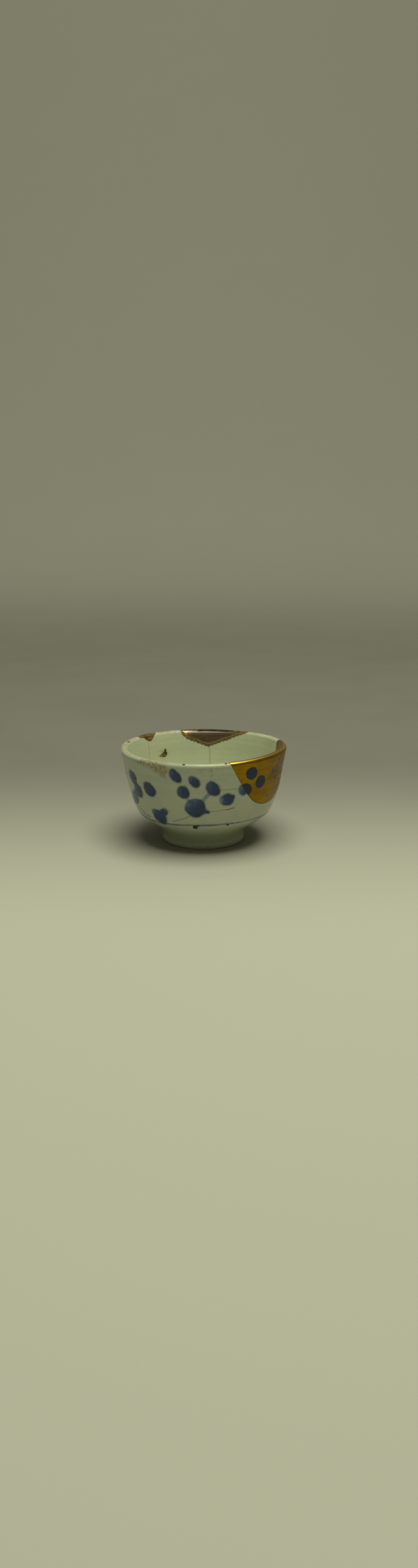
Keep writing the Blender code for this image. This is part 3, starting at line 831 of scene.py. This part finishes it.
def fillForm(name):
    # follows the cup's own section between the edges of the break, standing a little proud of it
    gap = seam["gap"]
    fill = fills[name]
    angle = breakColumns(name, gap, fill["step"])
    first, last = cutPositions(name, angle, gap)[:2]
    share = np.linspace(0, 1, fill["rows"])
    share = 0.6 * share + 0.4 * (1 - np.cos(np.pi * share)) / 2  # closer rows towards both edges
    position = first[None] + (last - first)[None] * share[:, None]
    radius, height, outwards, upwards = sectionAt(position)
    angles = np.broadcast_to(angle, radius.shape)

    turn = np.radians(angles)
    plain = np.stack([radius * np.sin(turn), -radius * np.cos(turn), height], -1)
    rim = np.vstack([plain[0], plain[-1]])
    edge = np.full(radius.shape, 99.0)
    for block in range(0, len(rim), 80):
        away = np.linalg.norm(plain[:, :, None] - rim[None, None, block:block + 80], axis=-1)
        edge = np.minimum(edge, away.min(axis=-1))

    picture = {}
    relief = np.zeros(radius.shape)
    outside = position > lipTop
    if name == "gold_lacquer_fill":
        picture = goldFields(angles, height, outside)
        picture["lipAside"] = position - lipTop
        painted = np.clip(-picture["leafDistance"] / 0.12, 0, 1)
        painted = painted + np.clip(-picture["seedDistance"] / 0.1, 0, 1)
        relief = fillRelief["paint"] * painted
    else:
        risen = [np.clip((edge - at) / fillRelief["stepWidth"], 0, 1) for at in fill["lines"]]
        relief = fillRelief["lineStep"] * sum(risen)
        depth, reach = fill["bevel"]
        near = np.clip(1 - np.abs(lipTop - position) / reach, 0, 1) * ~outside
        relief = relief - depth * near ** 2 * np.clip(edge / 1.5, 0, 1)
    eased = np.clip(edge / fillRelief["roundedOver"], 0, 1)
    proud = -fillRelief["edgeSink"] + (fillRelief["edgeSink"] + fillRelief["proud"]) * eased * (2 - eased)
    push = ripple(angles, height) * smoothInside(position) + proud + relief
    radius, height = radius + outwards * push, height + upwards * push

    across = np.linspace(0, 1, 7)[1:-1, None]
    backRadius = radius[-1] + (radius[0] - radius[-1]) * across
    backHeight = height[-1] + (height[0] - height[-1]) * across
    radius, height = np.vstack([radius, backRadius]), np.vstack([height, backHeight])
    angles = np.broadcast_to(angle, radius.shape)
    points = byHand(angles, radius, height)
    count = len(across)

    def withBack(values, back):
        return np.vstack([values, np.full((count, len(angle)), float(back))])

    fields = {"edgeDistance": withBack(edge, 0)}
    for field, values in picture.items():
        fields[field] = withBack(values, brush["farSide"])
    if "gilding" in fill:
        gilding = np.zeros(angles.shape)
        for middle, reach, strength in fill["gilding"]:
            gilding = np.maximum(gilding, strength * np.clip(1.4 - np.abs(angles - middle) / reach, 0, 1))
        fields["gilding"] = gilding
    return meshFromGrid(fill["piece"], points, fields, True, False)


def goldFields(angle, height, outside):
    leafDistance = paintedLeaves(angle, height, goldPicture["leaves"], 0.02)[0]
    seeds = np.full(angle.shape, brush["far"])
    for number, (seedAngle, seedHeight, length, width, tilt) in enumerate(goldPicture["seeds"]):
        across, up = unrolled(angle, height, (seedAngle, seedHeight))
        seeds = np.minimum(seeds, ovalDistance(across, up, (length, width, tilt), 0.07, number * 2.1))
    stemSide, stemInk = drawnLines(angle, height, goldPicture["stems"], outerRadius)
    return {
        "leafDistance": np.where(outside, leafDistance, brush["far"]),
        "seedDistance": np.where(outside, seeds, brush["far"]),
        "stemSide": stemSide,
        "stemInk": np.where(outside, stemInk, 0.0),
    }


# Finishes
class NodeBench:
    # makes nodes of one material and joins them. A value is a number, a colour or another node's socket.
    def __init__(self, name):
        self.material = bpy.data.materials.new(name)
        self.material.use_nodes = True
        self.tree = self.material.node_tree
        self.shader = self.tree.nodes["Principled BSDF"]
        coords = self.tree.nodes.new("ShaderNodeTexCoord")
        scale = self.tree.nodes.new("ShaderNodeVectorMath")
        scale.operation = "SCALE"
        scale.inputs["Scale"].default_value = metre
        self.tree.links.new(coords.outputs["Object"], scale.inputs[0])
        self.place = scale.outputs[0]

    def give(self, socket, value):
        if isinstance(value, bpy.types.NodeSocket):
            self.tree.links.new(value, socket)
        else:
            socket.default_value = value

    def surface(self, colour, roughness, relief, fixed):
        # colour, roughness and relief vary over the piece. Fixed numbers go straight on the shader.
        self.give(self.shader.inputs["Base Color"], colour)
        self.give(self.shader.inputs["Roughness"], roughness)
        self.give(self.shader.inputs["Normal"], relief)
        for name, number in fixed.items():
            self.shader.inputs[name].default_value = number

    def field(self, name):
        node = self.tree.nodes.new("ShaderNodeAttribute")
        node.attribute_name = name
        return node.outputs["Fac"]

    def noise(self, size, detail=3.0, roughness=0.55, stretch=None):
        node = self.tree.nodes.new("ShaderNodeTexNoise")
        node.inputs["Scale"].default_value = 1.0 / size
        node.inputs["Detail"].default_value = detail
        node.inputs["Roughness"].default_value = roughness
        place = self.place
        if stretch:
            mapping = self.tree.nodes.new("ShaderNodeMapping")
            mapping.inputs["Scale"].default_value = stretch
            self.tree.links.new(place, mapping.inputs["Vector"])
            place = mapping.outputs[0]
        self.tree.links.new(place, node.inputs["Vector"])
        return node.outputs["Fac"]

    def reckon(self, kind, one, two=0.0):
        node = self.tree.nodes.new("ShaderNodeMath")
        node.operation = kind
        self.give(node.inputs[0], one)
        self.give(node.inputs[1], two)
        return node.outputs[0]

    def plus(self, one, two):
        return self.reckon("ADD", one, two)

    def less(self, one, two):
        return self.reckon("SUBTRACT", one, two)

    def times(self, *values):
        result = values[0]
        for value in values[1:]:
            result = self.reckon("MULTIPLY", result, value)
        return result

    def larger(self, *values):
        result = values[0]
        for value in values[1:]:
            result = self.reckon("MAXIMUM", result, value)
        return result

    def swing(self, noise, amount):
        # the noise as a swing to either side of 0
        return self.times(self.less(noise, 0.5), amount)

    def stroke(self, aside, pale, full, start=0.0, end=1.0):
        # a line along which aside is 0: nothing further off than pale, and all of it nearer than full
        return self.ease(self.reckon("ABSOLUTE", aside), pale, full, start, end)

    def ease(self, value, low, high, start=0.0, end=1.0):
        node = self.tree.nodes.new("ShaderNodeMapRange")
        node.interpolation_type = "SMOOTHSTEP"
        for name, number in (("From Min", low), ("From Max", high), ("To Min", start), ("To Max", end)):
            node.inputs[name].default_value = number
        self.give(node.inputs["Value"], value)
        return node.outputs["Result"]

    def blend(self, share, one, two):
        node = self.tree.nodes.new("ShaderNodeMix")
        node.data_type = "RGBA"
        self.give(node.inputs[0], share)
        self.give(node.inputs[6], one)
        self.give(node.inputs[7], two)
        return node.outputs[2]

    def between(self, share, one, two):
        node = self.tree.nodes.new("ShaderNodeMix")
        self.give(node.inputs[0], share)
        self.give(node.inputs[2], one)
        self.give(node.inputs[3], two)
        return node.outputs[0]

    def bump(self, height, strength, distance):
        node = self.tree.nodes.new("ShaderNodeBump")
        node.inputs["Strength"].default_value = strength
        node.inputs["Distance"].default_value = distance / metre
        self.give(node.inputs["Height"], height)
        return node.outputs[0]


porcelainFinish = {
    "glaze": (0.505, 0.535, 0.395, 1),
    "coolGlaze": (0.425, 0.490, 0.415, 1),
    "lowDarkGlaze": (0.36, 0.40, 0.245, 1),
    "lipGlaze": (0.47, 0.485, 0.365, 1),
    # the glaze inside is painted lighter than outside: painted light falling into the cup, painted shade on
    # the outer wall
    "litInnerGlaze": (0.575, 0.618, 0.445, 1),
    "wellGlaze": (0.530, 0.585, 0.485, 1),
    "paleInk": (0.125, 0.195, 0.320, 1),
    "ink": (0.023, 0.052, 0.140, 1),
    "deepInk": (0.012, 0.024, 0.060, 1),
    "stemInk": (0.12, 0.16, 0.20, 1),
    "lineInk": (0.058, 0.090, 0.150, 1),
    "crack": (0.24, 0.15, 0.04, 1),
    "stain": (0.27, 0.195, 0.075, 1),
    "wornLip": (0.31, 0.25, 0.125, 1),
    "darkSpot": (0.020, 0.016, 0.008, 1),
    "rustSpot": (0.30, 0.17, 0.035, 1),
    "biscuit": (0.52, 0.47, 0.36, 1),
    "seam": (0.06, 0.035, 0.012, 1),
    # size in millimetres, detail, and how rough its detail is
    "clouds": (9.0, 3.0),
    "fineNoise": (1.1, 4.0),
    "grain": (0.28, 3.0),
    "stainSpeckle": (0.8, 5.0, 0.8),
    "pitting": (0.9, 4.0, 0.7),
    "sheenClouds": (3.0, 3.0),
    "dimples": (2.4, 2.0),
    "rings": (2.2, 2.0, 0.55, (0.05, 0.05, 1.6)),  # drawn out round the cup
    "darkerBelow": (13.5, 3.0),  # heights between which the glaze outside turns darker and greener
    "wellBelow": (20.0, 12.0),  # and deeper in tone inside
    "ringsAbove": (27.0, 35.0),
    "bleed": 0.9,  # how far the fine noise pushes a painted edge, in millimetres
    "roughness": (0.11, 0.21),
    "dullRoughness": 0.62,
    "bump": (0.35, 0.10),
    "fixed": {"IOR": 1.48, "Specular IOR Level": 0.38},
}


def glazedPorcelain():
    look = porcelainFinish
    bench = NodeBench("glazedPorcelain")
    cloud = bench.noise(*look["clouds"])
    fine = bench.noise(*look["fineNoise"])
    grain = bench.noise(*look["grain"])
    height = bench.field("heightOnCup")
    outside = bench.field("outside")

    # glaze: cooler in clouds, darker and greener towards the foot, pale where it runs thin over the lip
    glaze = bench.blend(bench.ease(cloud, 0.40, 0.70, 0.0, 0.55), look["glaze"], look["coolGlaze"])
    glaze = bench.blend(bench.ease(height, *look["darkerBelow"]), glaze, look["lowDarkGlaze"])
    deep = bench.larger(bench.ease(height, *look["wellBelow"]), bench.ease(cloud, 0.45, 0.70, 0.0, 0.5))
    inner = bench.blend(deep, look["litInnerGlaze"], look["wellGlaze"])
    # the inside takes the lighter copy of the glaze and the outside the darker one, as painted light and
    # painted shade
    glaze = bench.blend(outside, inner, glaze)
    rings = bench.ease(bench.noise(*look["rings"]), 0.48, 0.60)
    ringShare = bench.times(rings, bench.ease(height, *look["ringsAbove"]), outside)
    glaze = bench.blend(ringShare, glaze, look["coolGlaze"])
    glaze = bench.blend(bench.ease(bench.field("lipShare"), 0.2, 1.0, 0.0, 0.75), glaze, look["lipGlaze"])

    # painting under the glaze, with watery edges and pooled ink
    bleed = bench.swing(fine, look["bleed"])
    smudge = bench.times(bench.field("smudge"), bench.ease(fine, 0.35, 0.70, 0.25, 1.0))
    painted = bench.blend(bench.ease(smudge, 0.0, 1.0, 0.0, 0.75), glaze, look["stemInk"])
    turn = bench.stroke(bench.plus(bench.field("turnSide"), bench.times(bleed, 1.6)), 1.7, 0.3)
    turn = bench.times(turn, bench.field("turnInk"), bench.ease(cloud, 0.30, 0.62, 0.55, 1.0))
    painted = bench.blend(turn, painted, look["lineInk"])
    stem = bench.stroke(bench.plus(bench.field("stemSide"), bleed), 1.7, 0.4)
    painted = bench.blend(bench.times(stem, bench.field("stemInk")), painted, look["stemInk"])
    leafEdge = bench.plus(bench.field("leafDistance"), bench.times(bleed, 0.75))
    leafEdge = bench.plus(leafEdge, bench.swing(grain, 0.25))
    ink = bench.plus(bench.field("leafInk"), bench.swing(cloud, 0.9))
    ink = bench.plus(ink, bench.times(bleed, 0.25))
    ink = bench.plus(ink, bench.ease(leafEdge, -1.0, -0.25, 0.0, 0.10))
    leaf = bench.blend(bench.ease(ink, 0.05, 0.55), look["paleInk"], look["ink"])
    leaf = bench.blend(bench.ease(ink, 0.55, 1.0, 0.0, 0.9), leaf, look["deepInk"])
    strength = bench.ease(ink, 0.0, 0.42, 0.55, 1.0)
    painted = bench.blend(bench.times(bench.ease(leafEdge, 0.55, -0.50), strength), painted, leaf)

    # age: stains, worn lip, hairlines and rusty spots
    speckle = bench.ease(bench.noise(*look["stainSpeckle"]), 0.42, 0.60, 0.15, 1.0)
    stain = bench.times(bench.field("stain"), speckle)
    aged = bench.blend(bench.ease(stain, 0.0, 1.0, 0.0, 0.85), painted, look["stain"])
    worn = bench.times(bench.field("wornLip"), bench.ease(bench.noise(*look["pitting"]), 0.38, 0.62))
    aged = bench.blend(bench.times(worn, 0.85), aged, look["wornLip"])
    crack = bench.stroke(bench.plus(bench.field("crackSide"), bench.times(bleed, 1.2)), 2.1, 0.6)
    aged = bench.blend(bench.times(crack, bench.field("crackInk")), aged, look["crack"])
    spotEdge = bench.plus(bench.field("spotDistance"), bench.times(bleed, 0.6))
    spot = bench.ease(bench.plus(spotEdge, bench.swing(grain, 0.5)), 0.12, -0.14)
    spotColour = bench.blend(bench.field("spotTone"), look["darkSpot"], look["rustSpot"])
    aged = bench.blend(spot, aged, spotColour)
    bare = bench.field("unglazed")
    aged = bench.blend(bare, aged, look["biscuit"])
    aged = bench.blend(bench.field("brokenFace"), aged, look["seam"])

    glossy = bench.ease(bench.noise(*look["sheenClouds"]), 0.3, 0.7, *look["roughness"])
    dull = bench.larger(spot, bare, bench.times(worn, 0.6))
    pits = bench.less(bench.noise(*look["dimples"]), bench.times(bench.plus(spot, worn), 0.8))
    rough = bench.between(dull, glossy, look["dullRoughness"])
    bench.surface(aged, rough, bench.bump(pits, *look["bump"]), look["fixed"])
    return bench.material


goldFinish = {
    "gold": (0.335, 0.190, 0.007, 1),
    "deepGold": (0.255, 0.140, 0.005, 1),
    "lipHighlightGold": (0.62, 0.41, 0.07, 1),
    "lacquer": (0.045, 0.022, 0.006, 1),
    "slate": (0.016, 0.024, 0.058, 1),
    "seed": (0.050, 0.036, 0.075, 1),
    # size in millimetres, detail, and how rough its detail is
    "clouds": (7.0, 3.0),
    "powder": (0.5, 4.0, 0.65),
    "brushed": (0.9, 3.0, 0.55, (0.12, 0.12, 1.8)),  # drawn out round the cup
    "paintNoise": (0.9, 3.0),
    # lines along the lip: how far out from its top, then how far to either side each is pale and full
    # a painted highlight: a bright gold line where the lamp's highlight falls on the round of the lip
    "lipHighlightLine": (0.70, 0.55, 0.15),
    "lineUnderLip": (1.55, 0.50, 0.15),
    "lineOverLip": (-0.50, 0.90, 0.40),
    "roughness": (0.34, 0.42),
    "lipRoughness": 0.42,
    "paintRoughness": 0.34,
    "bump": (0.25, 0.05),
    "fixed": {"Specular IOR Level": 0.3},
}


def goldLacquer():
    look = goldFinish
    bench = NodeBench("goldLacquer")
    cloud = bench.noise(*look["clouds"])
    powder = bench.noise(*look["powder"])
    brushed = bench.noise(*look["brushed"])
    aside = bench.field("lipAside")

    def lipLine(place, strength):
        centre, pale, full = look[place]
        return bench.stroke(bench.less(aside, centre), pale, full, 0.0, strength)

    shade = bench.plus(bench.times(cloud, 0.6), bench.times(brushed, 0.4))
    gold = bench.blend(bench.ease(shade, 0.38, 0.62), look["gold"], look["deepGold"])
    # the bright gold line along the lip is a painted highlight
    lip = lipLine("lipHighlightLine", 1.0)
    gold = bench.blend(lip, gold, look["lipHighlightGold"])
    ragged = bench.plus(bench.field("edgeDistance"), bench.swing(powder, 0.22))
    # dark lines painted along the lip on either side of the bright line, in the lacquer's colour
    darkLipLines = bench.larger(lipLine("lineUnderLip", 0.65), lipLine("lineOverLip", 0.8))
    border = bench.larger(bench.ease(ragged, 0.22, 0.07), darkLipLines)

    bleed = bench.swing(bench.noise(*look["paintNoise"]), 0.18)
    leaf = bench.ease(bench.plus(bench.field("leafDistance"), bleed), 0.07, -0.07)
    seed = bench.ease(bench.plus(bench.field("seedDistance"), bleed), 0.08, -0.10)
    stem = bench.stroke(bench.plus(bench.field("stemSide"), bleed), 1.5, 0.7)
    stem = bench.times(stem, bench.field("stemInk"))
    paint = bench.blend(bench.larger(seed, stem), look["slate"], look["seed"])
    mask = bench.larger(leaf, seed, stem)
    colour = bench.blend(border, bench.blend(mask, gold, paint), look["lacquer"])

    covered = bench.larger(mask, border)
    bench.give(bench.shader.inputs["Metallic"], bench.less(1.0, covered))
    rough = bench.between(bench.ease(shade, 0.35, 0.65), *look["roughness"])
    rough = bench.between(lip, rough, look["lipRoughness"])
    rough = bench.between(covered, rough, look["paintRoughness"])
    relief = bench.plus(bench.times(powder, 0.4), bench.times(brushed, 0.6))
    bench.surface(colour, rough, bench.bump(relief, *look["bump"]), look["fixed"])
    return bench.material


lacquerFinish = {
    "brown": (0.066, 0.036, 0.014, 1),
    "darkBrown": (0.045, 0.024, 0.008, 1),
    "border": (0.22, 0.145, 0.028, 1),
    "orange": (0.25, 0.130, 0.018, 1),
    "gold": (0.62, 0.39, 0.11, 1),
    # size in millimetres, detail, and how rough its detail is
    "clouds": (3.2, 3.0),
    "powder": (0.55, 4.0, 0.65),
    "waves": (2.0, 2.0),
    "swirls": (1.3, 4.0, 0.55, (0.6, 0.6, 2.2)),  # drawn out round the cup
    "waviness": 1.1,  # how far the gold lines swing, in millimetres
    "lineMetal": 0.85,
    "roughness": (0.26, 0.38),
    "bump": (0.20, 0.05),
    "fixed": {"IOR": 1.6, "Coat IOR": 1.7, "Coat Roughness": 0.34},
}


def brownLacquer(materialName, fill):
    look = lacquerFinish
    bench = NodeBench(materialName)
    cloud = bench.noise(*look["clouds"])
    powder = bench.noise(*look["powder"])
    swirl = bench.noise(*look["swirls"])
    edge = bench.field("edgeDistance")
    wavy = bench.plus(edge, bench.swing(bench.noise(*look["waves"]), look["waviness"]))

    # brown body, mottled with gold powder outside the first line
    body = bench.blend(bench.ease(cloud, 0.38, 0.66), look["brown"], look["darkBrown"])
    mottled = bench.blend(bench.ease(powder, 0.40, 0.62), look["darkBrown"], look["border"])
    first = fill["lines"][0]
    body = bench.blend(bench.ease(wavy, first + 0.15, first - 0.15, 0.0, fill["mottling"]), body, mottled)
    body = bench.blend(bench.times(bench.ease(swirl, 0.52, 0.66), fill["streaks"]), body, look["orange"])

    # fine gold lines and the stretches that are gilded
    width = fill["lineWidth"]
    line = bench.larger(*[bench.stroke(bench.less(wavy, at), width, width * 0.35) for at in fill["lines"]])
    line = bench.times(line, bench.ease(powder, 0.30, 0.52, 0.35, 1.0))
    gilded = bench.times(bench.field("gilding"), bench.ease(swirl, 0.40, 0.56), bench.ease(edge, 0.15, 0.4))
    line = bench.larger(line, gilded)
    colour = bench.blend(line, body, look["gold"])

    bench.give(bench.shader.inputs["Metallic"], bench.times(line, look["lineMetal"]))
    rough = bench.ease(cloud, 0.3, 0.7, *look["roughness"])
    relief = bench.plus(bench.times(powder, 0.5), bench.times(line, 0.6))
    bench.surface(colour, rough, bench.bump(relief, *look["bump"]), {**look["fixed"], **fill["fixed"]})
    return bench.material


# Making the pieces
cup = shapeCup()
cup.data.materials.append(glazedPorcelain())
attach(cup, "root")
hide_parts("porcelain_cup")
print("porcelain cup turned and painted:", len(cup.data.polygons), "faces")

goldFill = fillForm("gold_lacquer_fill")
goldFill.data.materials.append(goldLacquer())
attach(goldFill, "root")
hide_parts("gold_lacquer_fill")
print("gold fill:", len(goldFill.data.polygons), "faces")

longFill = fillForm("long_rim_fill")
longFill.data.materials.append(brownLacquer("brownLacquerLong", fills["long_rim_fill"]))
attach(longFill, "root")
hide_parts("long_rim_fill")

pointedFill = fillForm("pointed_rim_fill")
pointedFill.data.materials.append(brownLacquer("brownLacquerPointed", fills["pointed_rim_fill"]))
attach(pointedFill, "root")
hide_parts("pointed_rim_fill")
print("brown fills:", len(longFill.data.polygons), len(pointedFill.data.polygons), "faces")

# Table, backdrop and light
studio = {
    "floorRadius": 0.75,
    "wallRadius": 1.55,
    "wallHeight": 1.7,
    "paper": (0.52, 0.525, 0.49, 1),
    "paintedLightNear": (-110.0, 1.0),  # painted light and shade on the paper, falling from bright here to dim at the next: place along the way from the camera, tone
    "paintedShadeFar": (130.0, 0.40),
    "paintedLightOnWall": (440.0, 1100.0, 0.78),  # painted light on the wall: from here to here the paper is painted up to this tone, where the lamp's light falls off
    "paintedFalloffAlong": (0.73, 0.684),
    "paperClouds": (60.0, 3.0),
    "paperCloudShare": 0.04,
    "paperCloud": (0.5, 0.5, 0.45, 1),
    "paperTooth": (0.8, 3.0),
    "paperBump": (0.15, 0.05),
    "paperRoughness": 0.85,
    "paperFixed": {"Specular IOR Level": 0.2},
    "lampHeight": 0.9,
    "lampShift": (-0.040, -0.150),
    "lampSize": 0.66,
    "lampPower": 7.8,
    "lampColour": (1.0, 0.985, 0.72),
    "wallLamp": (0.42, 0.39, 1.25),
    "wallAim": (1.25, 1.15, 0.45),
    "wallPower": 5.0,
    "skyColour": (1.0, 0.99, 0.78, 1),
    "skyStrength": 0.054,
}


def makeBackdrop():
    # a round floor that sweeps up into a wall, its paper painted with light and shade: brighter on the
    # camera's side, darker behind the cup, lighter again up the wall
    look = studio
    sweep = look["wallRadius"] - look["floorRadius"]
    profile = [(0.0, 0.0), (look["floorRadius"] * 0.3, 0.0), (look["floorRadius"] * 0.7, 0.0)]
    for a in np.linspace(0, 90, 25):
        turn = math.radians(a)
        profile.append((look["floorRadius"] + sweep * math.sin(turn), sweep * (1 - math.cos(turn))))
    profile.append((look["wallRadius"], look["wallHeight"]))
    angle = np.arange(0, 360, 3.0)
    radius = np.repeat(np.array([p[0] for p in profile])[:, None], len(angle), 1)
    height = np.repeat(np.array([p[1] for p in profile])[:, None], len(angle), 1)
    turn = np.radians(angle)[None]
    points = np.stack([radius * np.sin(turn), -radius * np.cos(turn), height], -1) * metre
    backdrop = meshFromGrid("backdrop", points, {}, False, True)
    bench = NodeBench("backdropPaper")
    along = bench.tree.nodes.new("ShaderNodeVectorMath")
    along.operation = "DOT_PRODUCT"
    along.inputs[1].default_value = (*look["paintedFalloffAlong"], 0)
    bench.tree.links.new(bench.place, along.inputs[0])
    # painted light and shade: the paper's tone falls from bright to dim away from the camera's side, then
    # rises again on the wall
    (near, bright), (far, dim) = look["paintedLightNear"], look["paintedShadeFar"]
    paintedShadeShare = bench.ease(along.outputs["Value"], near, far)
    paper = bench.blend(paintedShadeShare, [bright * c for c in look["paper"]], [dim * c for c in look["paper"]])
    wallStart, wallEnd, wallTone = look["paintedLightOnWall"]
    away = bench.tree.nodes.new("ShaderNodeVectorMath")
    away.operation = "LENGTH"
    bench.tree.links.new(bench.place, away.inputs[0])
    paintedWallLight = bench.ease(away.outputs["Value"], wallStart, wallEnd)
    paper = bench.blend(paintedWallLight, paper, [wallTone * c for c in look["paper"]])
    cloudy = bench.ease(bench.noise(*look["paperClouds"]), 0.3, 0.7, 0.0, look["paperCloudShare"])
    tint = bench.blend(cloudy, paper, look["paperCloud"])
    tooth = bench.bump(bench.noise(*look["paperTooth"]), *look["paperBump"])
    bench.surface(tint, look["paperRoughness"], tooth, look["paperFixed"])
    backdrop.data.materials.append(bench.material)


def makeLamp(name, place, aim, size, power):
    data = bpy.data.lights.new(name, "AREA")
    data.shape = "DISK"
    data.size = size
    data.energy = power
    data.color = studio["lampColour"]
    lamp = bpy.data.objects.new(name, data)
    lamp.location = place
    lamp.rotation_mode = "QUATERNION"
    lamp.rotation_quaternion = (Vector(aim) - Vector(place)).to_track_quat("-Z", "Y")
    lamp.visible_camera = False
    bpy.context.scene.collection.objects.link(lamp)


makeBackdrop()
makeLamp("overheadLamp", (*studio["lampShift"], studio["lampHeight"]), (0, 0, 0), studio["lampSize"],
         studio["lampPower"])
makeLamp("wallLamp", studio["wallLamp"], studio["wallAim"], studio["lampSize"], studio["wallPower"])
world = bpy.data.worlds.new("studioSky")
world.use_nodes = True
world.node_tree.nodes["Background"].inputs["Color"].default_value = studio["skyColour"]
world.node_tree.nodes["Background"].inputs["Strength"].default_value = studio["skyStrength"]
bpy.context.scene.world = world
bpy.context.scene.view_settings.view_transform = "Standard"

cameraPlace = {
    "location": (-0.3306, -0.3128, 0.1474),
    "forward": (0.7035, 0.6592, -0.2656),
    "lens": 27.32,
    "clip": (0.01, 10),
}
cameraData = bpy.data.cameras.new("camera")
cameraData.lens = cameraPlace["lens"]
cameraData.clip_start, cameraData.clip_end = cameraPlace["clip"]
camera = bpy.data.objects.new("camera", cameraData)
camera.location = cameraPlace["location"]
camera.rotation_mode = "QUATERNION"
camera.rotation_quaternion = Vector(cameraPlace["forward"]).to_track_quat("-Z", "Y")
bpy.context.scene.collection.objects.link(camera)
bpy.context.scene.camera = camera
print("stage, light and camera set")
